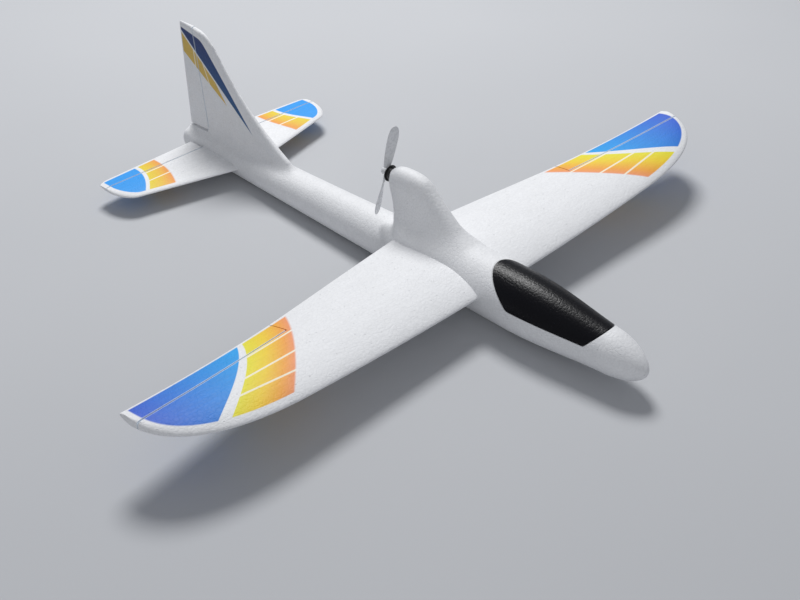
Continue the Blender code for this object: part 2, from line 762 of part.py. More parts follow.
# ---- Motor and propeller --------------------------------------------------------------------

STEEL = ((0.55, 0.55, 0.57), 0.3, 1.0)
BLACK_PLASTIC = ((0.015, 0.015, 0.016), 0.35)
PROPELLER_CENTRE = (0.0, PROPELLER_PLANE, MOTOR_AXIS_HEIGHT)


def make_motor():
    cap_y = MOTOR_FRONT_Y + MOTOR_CAP_LENGTH
    edge = 0.1 * MOTOR_RADIUS
    boss = 0.4 * MOTOR_RADIUS
    boss_y = MOTOR_REAR + 0.3 * boss
    can_profile = [
        (cap_y + CLEARANCE, MOTOR_RADIUS),
        (MOTOR_REAR - edge, MOTOR_RADIUS),
        (MOTOR_REAR, MOTOR_RADIUS - edge),
        (MOTOR_REAR, boss),
        (boss_y, boss),
    ]
    can = add("motor_can", turned(can_profile, MOTOR_CENTRE), STEEL)
    shaft_rear = PROPELLER_PLANE + 0.4 * HUB_LENGTH
    shaft_front = shaft_rear - SHAFT_LENGTH
    room = SHAFT_RADIUS + CLEARANCE
    cut(can, add("shaft_hole", turned([(shaft_front - CLEARANCE, room), (PROPELLER_PLANE, room)], MOTOR_CENTRE)))
    cap_profile = [
        (MOTOR_FRONT_Y, MOTOR_RADIUS - edge),
        (MOTOR_FRONT_Y + edge, MOTOR_RADIUS),
        (cap_y, MOTOR_RADIUS),
    ]
    add("motor_end_cap", turned(cap_profile, MOTOR_CENTRE), BLACK_PLASTIC)
    sleeve_profile = [
        (SLEEVE_FRONT_Y, SLEEVE_RADIUS),
        (SLEEVE_REAR_Y, SLEEVE_RADIUS),
        (SLEEVE_REAR_Y, SLEEVE_RIM_RADIUS),
        (SLEEVE_REAR_Y + SLEEVE_RIM_THICKNESS, SLEEVE_RIM_RADIUS),
    ]
    sleeve = add("motor_sleeve", turned(sleeve_profile, MOTOR_CENTRE), BLACK_PLASTIC)
    bore = MOTOR_RADIUS + CLEARANCE
    cut(sleeve, add("sleeve_bore", turned([(MOTOR_FRONT_Y, bore), (PROPELLER_PLANE, bore)], MOTOR_CENTRE)))
    shaft = turned([(shaft_front, SHAFT_RADIUS), (shaft_rear, SHAFT_RADIUS)], MOTOR_CENTRE, 12)
    add("motor_shaft", shaft, STEEL, PROPELLER_CENTRE)


def blade_blank(turn):
    """One twisted blade along +X, turned about the shaft."""
    steps, points = 10, 12
    root = 0.45 * HUB_RADIUS
    rings = []
    for i in range(steps + 1):
        radius = root + (PROPELLER_RADIUS - root) * sin(PI / 2 * i / steps)
        pitch = atan(PROPELLER_PITCH / (2 * PI * max(radius, 2 * HUB_RADIUS)))
        part = radius / PROPELLER_RADIUS
        chord = PROPELLER_CHORD * (0.45 + 1.15 * part - 0.45 * part**2) * sqrt(max(0.03, 1 - part**8))
        thickness = PROPELLER_THICKNESS * (1 - 0.55 * part)
        ring = []
        for j in range(points):
            along = chord / 2 * cos(2 * PI * j / points)
            across = thickness / 2 * sin(2 * PI * j / points)
            y = along * sin(pitch) + across * cos(pitch)
            z = along * cos(pitch) - across * sin(pitch)
            ring.append(Vector((radius, y, z)))
        rings.append(ring)
    bm = loft(rings)
    bmesh.ops.rotate(bm, cent=(0, 0, 0), matrix=Matrix.Rotation(turn, 3, "Y"), verts=bm.verts)
    bmesh.ops.translate(bm, vec=PROPELLER_CENTRE, verts=bm.verts)
    return bm


def make_propeller():
    half = HUB_LENGTH / 2
    hub_profile = [
        (-half, 0.8 * HUB_RADIUS),
        (-0.76 * half, HUB_RADIUS),
        (0.52 * half, HUB_RADIUS),
        (0.88 * half, 0.75 * HUB_RADIUS),
        (half, 0.4 * HUB_RADIUS),
    ]
    propeller = add("propeller", turned(hub_profile, PROPELLER_CENTRE), ((0.75, 0.76, 0.78), 0.3), PROPELLER_CENTRE)
    for i in range(2):
        blade = add("blade_%d" % i, blade_blank(PI * i - PROPELLER_REST_ANGLE))
        combine(propeller, blade, "UNION")
    room = SHAFT_RADIUS + CLEARANCE
    bore = turned([(-2 * half, room), (0.8 * half + CLEARANCE, room)], PROPELLER_CENTRE)
    cut(propeller, add("hub_bore", bore))


# ---- Belly tray, board and battery ----------------------------------------------------------

TRAY_HALF = TRAY_WIDTH / 2
INSIDE_HALF = TRAY_HALF - TRAY_WALL
INSIDE_LOW_Y = TRAY_LOW_Y + TRAY_WALL
INSIDE_HIGH_Y = TRAY_HIGH_Y - TRAY_WALL
FLOOR_Z = BELLY_Z + TRAY_FLOOR
LEDGE_Z = BELLY_Z + LEDGE_HEIGHT
BOARD_LOW_Z = LEDGE_Z + CLEARANCE
BOARD_HIGH_Z = BOARD_LOW_Z + BOARD_THICKNESS
BOARD_LOW_Y = INSIDE_HIGH_Y - CLEARANCE - BOARD_LENGTH
BOARD_HIGH_Y = BOARD_LOW_Y + BOARD_LENGTH
SWITCH_Y = BOARD_LOW_Y + 0.25 * BOARD_LENGTH
LED_Y = BOARD_LOW_Y + 0.50 * BOARD_LENGTH
SOCKET_Y = BOARD_LOW_Y + 0.75 * BOARD_LENGTH
KNOB_REST_Y = SWITCH_Y - KNOB_TRAVEL / 2
KNOB_HALF = KNOB_WIDTH / 2
SLOT_HALF = (KNOB_LENGTH + KNOB_TRAVEL) / 2 + CLEARANCE
UNDER_BOARD_Z = BOARD_LOW_Z - CLEARANCE
SWITCH_LOW_Z = FLOOR_Z + CLEARANCE
FLUSH_Z = BELLY_Z + KNOB_RECESS
BELOW_Z = BELLY_Z - TRAY_FLOOR
TAPE_LOW_Z = -BAY_DROP + CLEARANCE
CELL_LOW_Z = TAPE_LOW_Z + TAPE_THICKNESS + CLEARANCE
CELL_LOW_Y = BAY_LOW_Y + 0.0010
CELL_HIGH_Y = CELL_LOW_Y + CELL_LENGTH


def make_tray():
    outer = box((-TRAY_HALF, TRAY_LOW_Y, BELLY_Z), (TRAY_HALF, TRAY_HIGH_Y, TRAY_TOP_Z), TRAY_FLOOR / 3)
    tray = add("belly_tray", outer, ((0.80, 0.80, 0.81), 0.35))
    ledge = INSIDE_HALF - LEDGE_WIDTH
    knob = KNOB_HALF + CLEARANCE
    cutters = {
        "tray_room_low": box((-ledge, INSIDE_LOW_Y, FLOOR_Z), (ledge, INSIDE_HIGH_Y, 0.9 * TRAY_TOP_Z)),
        "tray_room_high": box(
            (-INSIDE_HALF, INSIDE_LOW_Y, LEDGE_Z),
            (INSIDE_HALF, INSIDE_HIGH_Y, 0.8 * TRAY_TOP_Z),
        ),
        "switch_slot": box(
            (-knob, SWITCH_Y - SLOT_HALF, BELOW_Z),
            (knob, SWITCH_Y + SLOT_HALF, FLOOR_Z + TRAY_FLOOR),
        ),
        "socket_hole": upright(SOCKET_RADIUS + CLEARANCE, BELOW_Z, FLOOR_Z + TRAY_FLOOR, (0.0, SOCKET_Y)),
        "led_hole": upright(LED_RADIUS + CLEARANCE, BELOW_Z, FLOOR_Z + TRAY_FLOOR, (0.0, LED_Y)),
    }
    cut(tray, *(add(name, shape) for name, shape in cutters.items()))


def make_board():
    half = INSIDE_HALF - CLEARANCE
    board = box((-half, BOARD_LOW_Y, BOARD_LOW_Z), (half, BOARD_HIGH_Y, BOARD_HIGH_Z))
    add("circuit_board", board, ((0.02, 0.22, 0.08), 0.4))
    switch_half = SWITCH_WIDTH / 2
    body = box(
        (-switch_half, SWITCH_Y - SWITCH_LENGTH / 2, SWITCH_LOW_Z),
        (switch_half, SWITCH_Y + SWITCH_LENGTH / 2, UNDER_BOARD_Z),
    )
    switch = add("switch_body", body, STEEL)
    knob_high = SWITCH_LOW_Z + 0.4 * (UNDER_BOARD_Z - SWITCH_LOW_Z)
    knob_room = box(
        (-KNOB_HALF - CLEARANCE, SWITCH_Y - SLOT_HALF, BELLY_Z),
        (KNOB_HALF + CLEARANCE, SWITCH_Y + SLOT_HALF, knob_high + CLEARANCE),
    )
    cut(switch, add("knob_room", knob_room))
    knob = box(
        (-KNOB_HALF, KNOB_REST_Y - KNOB_LENGTH / 2, FLUSH_Z),
        (KNOB_HALF, KNOB_REST_Y + KNOB_LENGTH / 2, knob_high),
    )
    add("switch_knob", knob, BLACK_PLASTIC, (0.0, KNOB_REST_Y, FLUSH_Z))
    socket = add("charge_socket", upright(SOCKET_RADIUS, FLUSH_Z, UNDER_BOARD_Z, (0.0, SOCKET_Y)), BLACK_PLASTIC)
    bore_top = UNDER_BOARD_Z - SOCKET_BORE_RADIUS / 2
    cut(socket, add("socket_bore", upright(SOCKET_BORE_RADIUS, BELOW_Z, bore_top, (0.0, SOCKET_Y), 16)))
    led = upright(LED_RADIUS, FLUSH_Z, UNDER_BOARD_Z, (0.0, LED_Y), 16)
    add("power_led", led, ((0.75, 0.05, 0.03), 0.15))


def make_battery():
    half = CELL_WIDTH / 2
    tape_end = TAPE_THICKNESS
    tape = box(
        (-half + tape_end, CELL_LOW_Y + tape_end, TAPE_LOW_Z),
        (half - tape_end, CELL_HIGH_Y - tape_end, TAPE_LOW_Z + TAPE_THICKNESS),
    )
    add("battery_tape", tape, ((0.75, 0.72, 0.62), 0.8))
    cell = box((-half, CELL_LOW_Y, CELL_LOW_Z), (half, CELL_HIGH_Y, CELL_LOW_Z + CELL_HEIGHT), CELL_HEIGHT / 5)
    add("battery_cell", cell, ((0.45, 0.46, 0.50), 0.35, 0.6))


def wire(name, points, colour):
    """A round wire on one smooth curve through its points."""
    curve = bpy.data.curves.new(name, "CURVE")
    curve.dimensions = "3D"
    curve.bevel_depth = WIRE_RADIUS
    curve.bevel_resolution = 1
    curve.use_fill_caps = True
    ends = [points[0] * 2 - points[1], *points, points[-1] * 2 - points[-2]]
    steps = 3
    path = []
    for a, b, c, d in zip(ends, ends[1:], ends[2:], ends[3:]):
        for i in range(steps):
            t = i / steps
            bend = (2 * a - 5 * b + 4 * c - d) * t**2 + (3 * b - a - 3 * c + d) * t**3
            path.append((2 * b + (c - a) * t + bend) / 2)
    path.append(points[-1])
    spline = curve.splines.new("POLY")
    spline.points.add(len(path) - 1)
    for point, place in zip(spline.points, path):
        point.co = (*place, 1.0)
    made = bpy.data.objects.new(name, curve)
    bpy.context.collection.objects.link(made)
    made.parent = AIRFRAME
    curve.materials.append(material(name, colour, 0.4))


def make_wires():
    """Two leads from the cell and two from the motor, all to the board in the belly tray."""
    mouth, bend, end = tunnel_points()
    first = (bend - mouth).normalized()
    second = (end - bend).normalized()
    pad_z = BOARD_HIGH_Z + CLEARANCE + WIRE_RADIUS
    over_wall_z = -LEAD_TUNNEL_DROP
    rise = 0.0007
    cell_z = CELL_LOW_Z + CELL_HEIGHT / 2
    for side, word, colour in ((1, "red", (0.6, 0.01, 0.01)), (-1, "black", (0.01, 0.01, 0.01))):
        x = side * 0.0007
        wide = Vector((side * 0.0042, 0.0, 0.0))
        narrow = Vector((x, 0.0, 0.0))

        def place(y, z, across):
            return Vector((0.0, y, z)) + across

        wire(
            "motor_wire_" + word,
            [
                place(BOARD_LOW_Y + 0.0080, pad_z, narrow * 2),
                place(BOARD_LOW_Y + 0.0050, pad_z, narrow * 2),
                place(BOARD_LOW_Y + 0.0010, over_wall_z - 0.0022, narrow),
                place(TRAY_LOW_Y + 0.0010, over_wall_z + rise, narrow),
                place(BAY_HIGH_Y - 0.0010, over_wall_z + rise, narrow),
                place(BAY_HIGH_Y - 0.0040, over_wall_z + 0.0018, narrow),
                mouth - first * 0.0036 + narrow,
                mouth + first * 0.0010 + narrow,
                (mouth + bend) / 2 + narrow,
                bend - first * 0.0050 + narrow,
                bend + second * 0.0050 + narrow,
                (bend + end) / 2 + narrow,
                end - second * 0.0060 + narrow,
                place(MOTOR_FRONT_Y - 0.0018, MOTOR_AXIS_HEIGHT - 0.0010, narrow),
                place(MOTOR_FRONT_Y - CLEARANCE, MOTOR_AXIS_HEIGHT - 0.0006, narrow),
            ],
            colour,
        )
        wire(
            "battery_lead_" + word,
            [
                place(CELL_HIGH_Y + CLEARANCE, cell_z, wide),
                place(CELL_HIGH_Y + 0.0025, cell_z, wide),
                place(BAY_HIGH_Y - 0.0050, over_wall_z - rise, wide / 2),
                place(BAY_HIGH_Y - 0.0010, over_wall_z - rise, narrow),
                place(TRAY_LOW_Y + 0.0010, over_wall_z - rise, narrow),
                place(BOARD_LOW_Y + 0.0005, over_wall_z - 0.0030, narrow * 2),
                place(BOARD_LOW_Y + 0.0030, pad_z, wide),
                place(BOARD_LOW_Y + 0.0060, pad_z, wide),
            ],
            colour,
        )


make_fuselage()
make_canopy()
make_wing()
make_tailplane()
make_rudder()
make_motor()
make_propeller()
make_tray()
make_board()
make_battery()
make_wires()
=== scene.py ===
from math import atan, cos, exp, pi, radians, sin, sqrt, tan

import bmesh
import bpy
import numpy as np
from mathutils import Matrix, Vector


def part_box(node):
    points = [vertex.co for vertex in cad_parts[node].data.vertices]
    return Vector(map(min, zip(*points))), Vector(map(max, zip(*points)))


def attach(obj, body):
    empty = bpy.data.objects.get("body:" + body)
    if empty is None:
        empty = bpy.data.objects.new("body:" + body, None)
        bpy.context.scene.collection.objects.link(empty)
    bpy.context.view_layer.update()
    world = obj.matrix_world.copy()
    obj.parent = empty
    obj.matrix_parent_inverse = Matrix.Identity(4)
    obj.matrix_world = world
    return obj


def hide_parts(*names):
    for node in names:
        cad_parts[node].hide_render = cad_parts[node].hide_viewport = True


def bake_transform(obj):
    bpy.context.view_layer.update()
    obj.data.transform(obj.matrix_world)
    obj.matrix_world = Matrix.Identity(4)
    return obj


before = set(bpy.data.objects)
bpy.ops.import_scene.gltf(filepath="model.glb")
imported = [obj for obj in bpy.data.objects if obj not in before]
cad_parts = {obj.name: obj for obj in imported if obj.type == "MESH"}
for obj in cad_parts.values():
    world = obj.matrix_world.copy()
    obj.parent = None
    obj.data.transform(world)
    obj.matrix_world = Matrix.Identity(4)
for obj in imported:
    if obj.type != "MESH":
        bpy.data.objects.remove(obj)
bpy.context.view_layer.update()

# ---- Sizes, in metres, in the airframe's datum: the wing root's trailing edge is y = z = 0 ----

SHIFT = Vector((0.0, -0.0240, 0.0268))      # from the datum to the row frame

HALF_SPAN = 0.2407
WING_CHORD = 0.0823
WING_TE_FORWARD = 0.0324
WING_THICKNESS, WING_TIP_THICKNESS, WING_CAMBER = 0.0070, 0.0050, 0.0045
WING_TIP_RISE = 0.0133
WING_TE_THICKNESS = 0.0016
TIP_ROUND_SPAN, TIP_CORNER_FORWARD, TIP_ROUND_POWER = 0.0907, 0.0346, 2.5
INCIDENCE = radians(1.7)

NOSE_Y, TAIL_Y = -0.194, 0.242
NOSE_CONE_LENGTH, NOSE_CONE_RADIUS, NOSE_POWER = 0.0274, 0.0138, 1.75
POD_RADIUS, POD_START, POD_END = 0.020, 0.100, 0.060
BOOM_ROOT_RADIUS, BOOM_TAIL_RADIUS, BOOM_CAP_LENGTH = 0.0163, 0.0112, 0.008
CONE_Y, CAP_Y = NOSE_Y + NOSE_CONE_LENGTH, TAIL_Y - BOOM_CAP_LENGTH

PYLON_TOP, PYLON_HALF_WIDTH, PYLON_FLARE_HALF_WIDTH, PYLON_POWER = 0.0479, 0.0078, 0.0185, 2.6
MOTOR_AXIS_HEIGHT, MOTOR_RADIUS = 0.0388, 0.0035
PROPELLER_PLANE, PROPELLER_RADIUS = 0.0180, 0.0303
PROPELLER_PITCH, PROPELLER_CHORD, PROPELLER_THICKNESS = 0.045, 0.0078, 0.0016
PROPELLER_REST_ANGLE = radians(72)
HUB_RADIUS, HUB_LENGTH = 0.0026, 0.0050

FIN_HEIGHT, FIN_TE = 0.0797, 0.2363
FIN_START = FIN_TE - 0.1313
FIN_THICKNESS, FIN_TOP_THICKNESS, FIN_FLARE = 0.0065, 0.0045, 0.0035
RUDDER_CHORD, RUDDER_TOP_CHORD, RUDDER_FOOT_GAP = 0.0235, 0.0166, 0.0012

HALF_TAIL, TAIL_ROOT_TE, TAIL_CHORD, TAIL_DROP = 0.0990, 0.2239, 0.0612, 0.0121
TAIL_TE_SWEEP, TAIL_LE_SWEEP, TAIL_THICKNESS, TAIL_CORNER = 0.0512, 0.2500, 0.0048, 0.0125
ELEVATOR_CHORD, ELEVATOR_START = 0.0152, 0.0130
AILERON_CHORD, AILERON_START = 0.0140, 0.1300
HINGE_GAP, HINGE_SLOPE, END_GAP = 0.0003, 0.16, 0.0006

CANOPY_FRONT, CANOPY_FRONT_FOOT, CANOPY_REAR_FOOT, CANOPY_REAR = 0.1655, 0.1575, 0.1040, 0.0790
CANOPY_FOOT_DROP, CANOPY_REAR_HEIGHT, CANOPY_FRONT_HEIGHT = 0.0010, 0.0158, 0.0085
CANOPY_WALL, CANOPY_RIM_DEPTH, CANOPY_RIM_WALL = 0.0035, 0.0030, 0.0022
BAY_LOW_Y, BAY_HIGH_Y, BAY_WIDTH, BAY_DROP = -0.1510, -0.1055, 0.0190, 0.0130
TRAY_LOW_Y, TRAY_HIGH_Y, TRAY_WIDTH, POCKET_DROP = -0.0980, -0.0600, 0.0140, 0.0100
SLEEVE_RADIUS, BORE_FRONT_Y, MOTOR_REAR, MOTOR_FRONT_Y = 0.0046, -0.0063, 0.0122, -0.0038
TUNNEL_RADIUS, TUNNEL_MOUTH, TUNNEL_BEND = 0.0014, (-0.1055, -0.0045), (-0.0585, 0.0115)
LEAD_TUNNEL_RADIUS, LEAD_TUNNEL_DROP = 0.0018, 0.0116
CLEARANCE = 0.0003
SEAM = 0.00015                              # half the seam round the canopy

# ---- Profiles ---------------------------------------------------------------------------------


def smooth_curve(knots, at):
    """A monotone cubic through (place, value) knots, held level past both ends."""
    if at <= knots[0][0]:
        return knots[0][1]
    if at >= knots[-1][0]:
        return knots[-1][1]
    steps = [(b[1] - a[1]) / (b[0] - a[0]) for a, b in zip(knots, knots[1:])]
    slopes = [steps[0]]
    for before, after in zip(steps, steps[1:]):
        slopes.append(0.0 if before * after <= 0 else 2 * before * after / (before + after))
    slopes.append(steps[-1])
    for i, (a, b) in enumerate(zip(knots, knots[1:])):
        if at <= b[0]:
            width = b[0] - a[0]
            t = (at - a[0]) / width
            rise = a[1] * (1 + 2 * t) * (1 - t) ** 2 + b[1] * t * t * (3 - 2 * t)
            return rise + width * (slopes[i] * t * (1 - t) ** 2 - slopes[i + 1] * t * t * (1 - t))
    return knots[-1][1]


RADIUS_KNOTS = [
    (CONE_Y, NOSE_CONE_RADIUS), (-POD_START, POD_RADIUS), (-POD_END, POD_RADIUS),
    (0.0, BOOM_ROOT_RADIUS), (CAP_Y, BOOM_TAIL_RADIUS),
]
DROP_KNOTS = [
    (NOSE_Y, 0.0088), (CONE_Y, 0.0060), (-POD_START, 0.0050), (-POD_END, 0.0050), (0.0, 0.0104),
    (CAP_Y, 0.0146),
]


def fuselage_radius(y):
    if y < CONE_Y:
        share = min((CONE_Y - y) / NOSE_CONE_LENGTH, 1.0)
        return NOSE_CONE_RADIUS * (1 - share**NOSE_POWER) ** (1 / NOSE_POWER)
    if y > CAP_Y:
        share = min((y - CAP_Y) / BOOM_CAP_LENGTH, 1.0)
        return BOOM_TAIL_RADIUS * sqrt(1 - share * share)
    return smooth_curve(RADIUS_KNOTS, y)


def fuselage_centre(y):
    return -smooth_curve(DROP_KNOTS, y)


def fuselage_top(y):
    return fuselage_centre(y) + fuselage_radius(y)


# ---- Mesh tools -------------------------------------------------------------------------------


def loft(rings):
    """A closed mesh through rings of equal length, with flat ends."""
    bm = bmesh.new()
    rows = [[bm.verts.new(p) for p in ring] for ring in rings]
    for a, b in zip(rows, rows[1:]):
        for i in range(len(a)):
            j = (i + 1) % len(a)
            bm.faces.new((a[i], a[j], b[j], b[i]))
    bm.faces.new(rows[0][::-1])
    bm.faces.new(rows[-1])
    bmesh.ops.recalc_face_normals(bm, faces=bm.faces)
    return bm


def prism(outline, direction):
    push = Vector(direction)
    return loft([[Vector(p) for p in outline], [Vector(p) + push for p in outline]])


def box(low, high, rounding=0.0, segments=3):
    bm = bmesh.new()
    bmesh.ops.create_cube(bm, size=1.0)
    bmesh.ops.scale(bm, vec=Vector(high) - Vector(low), verts=bm.verts)
    bmesh.ops.translate(bm, vec=(Vector(high) + Vector(low)) / 2, verts=bm.verts)
    if rounding:
        bmesh.ops.bevel(bm, geom=bm.edges[:], offset=rounding, segments=segments, affect="EDGES")
    return bm


def turned(profile, centre, sides=48):
    """Closed rings (y, radius) turned about the Y axis through centre."""
    rings = []
    for y, radius in profile:
        turn = [2 * pi * i / sides for i in range(sides)]
        rings.append([Vector((radius * sin(a), y, radius * cos(a))) + Vector(centre) for a in turn])
    return loft(rings)


def level_ring(centre, radius, z, sides):
    turn = [2 * pi * k / sides for k in range(sides)]
    return [Vector((centre[0] + radius * cos(a), centre[1] + radius * sin(a), z)) for a in turn]


def upright(radius, low, high, centre, sides=32):
    return loft([level_ring(centre, radius, z, sides) for z in (low, high)])


def rod(start, end, radius, sides=24):
    """A straight round rod between two points on the centre plane."""
    start, end = Vector(start), Vector(end)
    up = (end - start).normalized().cross(Vector((1.0, 0.0, 0.0)))
    turn = [2 * pi * i / sides for i in range(sides)]
    rings = []
    for place in (start, end):
        rings.append([place + Vector((radius * cos(a), 0, 0)) + up * radius * sin(a) for a in turn])
    return loft(rings)


def rounded_outline(points, radii, steps=8):
    """A polygon's corners rounded, each by its own radius."""
    count = len(points)
    out = []
    for i, (corner, radius) in enumerate(zip(points, radii)):
        if not radius:
            out.append(corner)
            continue
        before = (points[i - 1] - corner).normalized()
        after = (points[(i + 1) % count] - corner).normalized()
        half = before.angle(after) / 2
        reach = radius / tan(half)
        centre = corner + (before + after).normalized() * radius / sin(half)
        a, b = corner + before * reach - centre, corner + after * reach - centre
        out += [centre + a.slerp(b, k / steps) * radius for k in range(steps + 1)]
    return out


def new_object(name, bm):
    """A mesh object from a mesh in the datum, moved to the row frame."""
    bmesh.ops.translate(bm, vec=SHIFT, verts=bm.verts)
    mesh = bpy.data.meshes.new(name)
    bm.to_mesh(mesh)
    bm.free()
    made = bpy.data.objects.new(name, mesh)
    bpy.context.scene.collection.objects.link(made)
    return made


def bake(obj):
    """Applies an object's modifiers."""
    graph = bpy.context.evaluated_depsgraph_get()
    mesh = bpy.data.meshes.new_from_object(obj.evaluated_get(graph))
    obj.modifiers.clear()
    old, obj.data = obj.data, mesh
    bpy.data.meshes.remove(old)


def boolean(target, operation, *shapes):
    """Each shape, an object or a mesh in the datum, is joined to or taken from the target for good."""
    for shape in shapes:
        other = shape if isinstance(shape, bpy.types.Object) else new_object("boolean_shape", shape)
        step = target.modifiers.new("boolean", "BOOLEAN")
        step.operation = operation
        step.object = other
        step.solver = "MANIFOLD"
        bake(target)
        bpy.data.objects.remove(other, do_unlink=True)
    return target


def relax(mesh, weights, steps):
    """Moves each point towards the mean of its neighbours, by its own weight."""
    count = len(mesh.vertices)
    points = np.empty(count * 3)
    mesh.vertices.foreach_get("co", points)
    points = points.reshape(-1, 3)
    edges = np.empty(len(mesh.edges) * 2, int)
    mesh.edges.foreach_get("vertices", edges)
    a, b = edges.reshape(-1, 2).T
    ends, others = np.concatenate([a, b]), np.concatenate([b, a])
    near = np.maximum(np.bincount(ends, minlength=count), 1)
    for _ in range(steps):
        mean = [np.bincount(ends, weights=points[others, k], minlength=count) / near for k in range(3)]
        points += weights[:, None] * (np.stack(mean, 1) - points)
    mesh.vertices.foreach_set("co", points.ravel())
    mesh.update()


def smooth(obj, angle=38):
    obj.data.shade_smooth()
    obj.data.set_sharp_from_angle(angle=radians(angle))
    return obj


def piece(obj, look, body, slot, *nodes, angle=38):
    """Finishes one visible piece: its material, its body, its slot (not used) and the nodes that it
    replaces.
    """
    smooth(obj, angle)
    obj.data.materials.clear()
    obj.data.materials.append(look)
    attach(obj, body)
    if nodes:
        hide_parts(*nodes)
    return obj


# ---- Wing, tailplane and fin sections ---------------------------------------------------------


def section_ring(x, le, te, thickness, camber, te_thickness, lift, pitch, grow, steps):
    le -= grow
    te += grow
    chord = te - le
    points = []
    for side in (1, -1):
        for i in range(steps + 1):
            share = (1 + cos(pi * i / steps)) / 2
            if side < 0:
                share = 1 - share
            if side < 0 and i == 0:
                continue
            root = sqrt(max(share, 0.0))
            swell = 2.969 * root - 1.26 * share - 3.516 * share**2 + 2.843 * share**3 - 1.036 * share**4
            half = thickness / 2 * swell + share * te_thickness / 2 + grow * min(1.0, 4 * root)
            middle = 4 * camber * share * (1 - share)
            points.append((le + share * chord, middle + side * half))
    return [Vector((x, y, z + y * tan(pitch) + lift)) for y, z in points]


WING_TE_KNOTS = [
    (0.0, 0.0), (0.25, 0.24), (0.415, 0.43), (0.54, 0.585), (0.665, 0.72), (0.83, 0.873), (1.0, 1.0),
]


def wing_edges(x):
    te = -WING_TE_FORWARD * smooth_curve(WING_TE_KNOTS, x / HALF_SPAN)
    into = max(0.0, (x - (HALF_SPAN - TIP_ROUND_SPAN)) / TIP_ROUND_SPAN)
    depth = WING_CHORD - TIP_CORNER_FORWARD
    curve = (1 - min(into, 1.0) ** TIP_ROUND_POWER) ** (1 / TIP_ROUND_POWER)
    return -TIP_CORNER_FORWARD - depth * curve, te


def wing_lift(x):
    return WING_TIP_RISE * (x / HALF_SPAN) ** 2


def wing_ring(x, grow=0.0, steps=28):
    out = abs(x)
    le, te = wing_edges(out)
    chord = te - le
    thickness = WING_THICKNESS + (WING_TIP_THICKNESS - WING_THICKNESS) * out / HALF_SPAN
    thickness = min(thickness, 0.45 * chord)
    camber = WING_CAMBER * min(1.0, chord / WING_CHORD) ** 1.5
    te_thickness = min(WING_TE_THICKNESS, 0.3 * chord)
    return section_ring(x, le, te, thickness, camber, te_thickness, wing_lift(out), INCIDENCE, grow, steps)


def both_sides(places, last):
    places = places + [last]
    return [-p for p in places[:0:-1]] + places


def wing_blank():
    inner = HALF_SPAN - TIP_ROUND_SPAN
    places = [inner * i / 40 for i in range(41)]
    places += [inner + TIP_ROUND_SPAN * sin(pi / 2 * i / 44) for i in range(1, 44)]
    return loft([wing_ring(x) for x in both_sides(places, HALF_SPAN - 0.0001)])


def tail_ring(x, grow=0.0, steps=20):
    out = abs(x)
    te = TAIL_ROOT_TE - TAIL_TE_SWEEP * out
    le = TAIL_ROOT_TE - TAIL_CHORD + TAIL_LE_SWEEP * out
    into = max(0.0, out - (HALF_TAIL - TAIL_CORNER)) / TAIL_CORNER
    le += TAIL_CORNER * 1.5 * (1 - sqrt(max(0.0, 1 - into * into)))
    te -= 0.0025 * into**4
    thickness = min(TAIL_THICKNESS, 0.4 * (te - le)) * (1 - 0.25 * out / HALF_TAIL)
    thickness *= 1 - 0.45 * into**3
    drop = -TAIL_DROP - TAIL_ROOT_TE * tan(INCIDENCE)
    return section_ring(x, le, te, thickness, 0.0, 0.35 * thickness, drop, INCIDENCE, grow, steps)


def tail_blank():
    inner = HALF_TAIL - TAIL_CORNER
    places = [inner * i / 20 for i in range(21)]
    places += [inner + TAIL_CORNER * sin(pi / 2 * i / 20) for i in range(1, 20)]
    return loft([tail_ring(x) for x in both_sides(places, HALF_TAIL - 0.0001)])


FIN_FOOT = fuselage_centre(FIN_START + 0.05)
FIN_EDGE_KNOTS = [
    (FIN_FOOT, FIN_START - 0.012), (0.0040, FIN_START + 0.0115), (0.0199, FIN_TE - 0.0925),
    (0.0391, FIN_TE - 0.0675), (0.0571, FIN_TE - 0.0503), (0.0717, FIN_TE - 0.0378),
    (FIN_HEIGHT - 0.0022, FIN_TE - 0.0290), (FIN_HEIGHT - 0.0004, FIN_TE - 0.0200),
    (FIN_HEIGHT, FIN_TE - 0.0130),
]


def fin_ring(z, steps=24):
    le = smooth_curve(FIN_EDGE_KNOTS, z)
    te = FIN_TE - 0.0004 * (z / FIN_HEIGHT)
    share = max(0.0, z) / FIN_HEIGHT
    half = (FIN_THICKNESS + (FIN_TOP_THICKNESS - FIN_THICKNESS) * share) / 2
    over_boom = z - fuselage_top(FIN_TE - RUDDER_CHORD)
    flare = FIN_FLARE * exp(-max(over_boom, 0.0) / FIN_FLARE)
    top = max(0.0, (z - (FIN_HEIGHT - 0.003)) / 0.003)
    half *= sqrt(max(0.02, 1 - top * top))
    chord = te - le
    nose = min(0.30, 0.012 / chord)
    points = []
    for side in (1, -1):
        for i in range(steps + 1):
            u = i / steps if side < 0 else 1 - i / steps
            if side < 0 and i == 0:
                continue
            u = u * u
            rounding = sqrt(max(0.0, 1 - (1 - min(1.0, u / nose)) ** 2))
            taper = 1 - 0.55 * max(0.0, (u - nose) / (1 - nose))
            width = (half * taper + flare * (1 - u)) * rounding
            points.append(Vector((side * width, le + u * chord, z)))
    return points


def fin_blank():
    low = [FIN_FOOT + (0.012 - FIN_FOOT) * i / 16 for i in range(16)]
    middle = [0.012 + (FIN_HEIGHT - 0.016) * i / 40 for i in range(41)]
    top = [FIN_HEIGHT - 0.004 + 0.0039 * sin(pi / 2 * i / 10) for i in range(1, 11)]
    return loft([fin_ring(z) for z in low + middle + top])


# ---- Hinged surfaces --------------------------------------------------------------------------


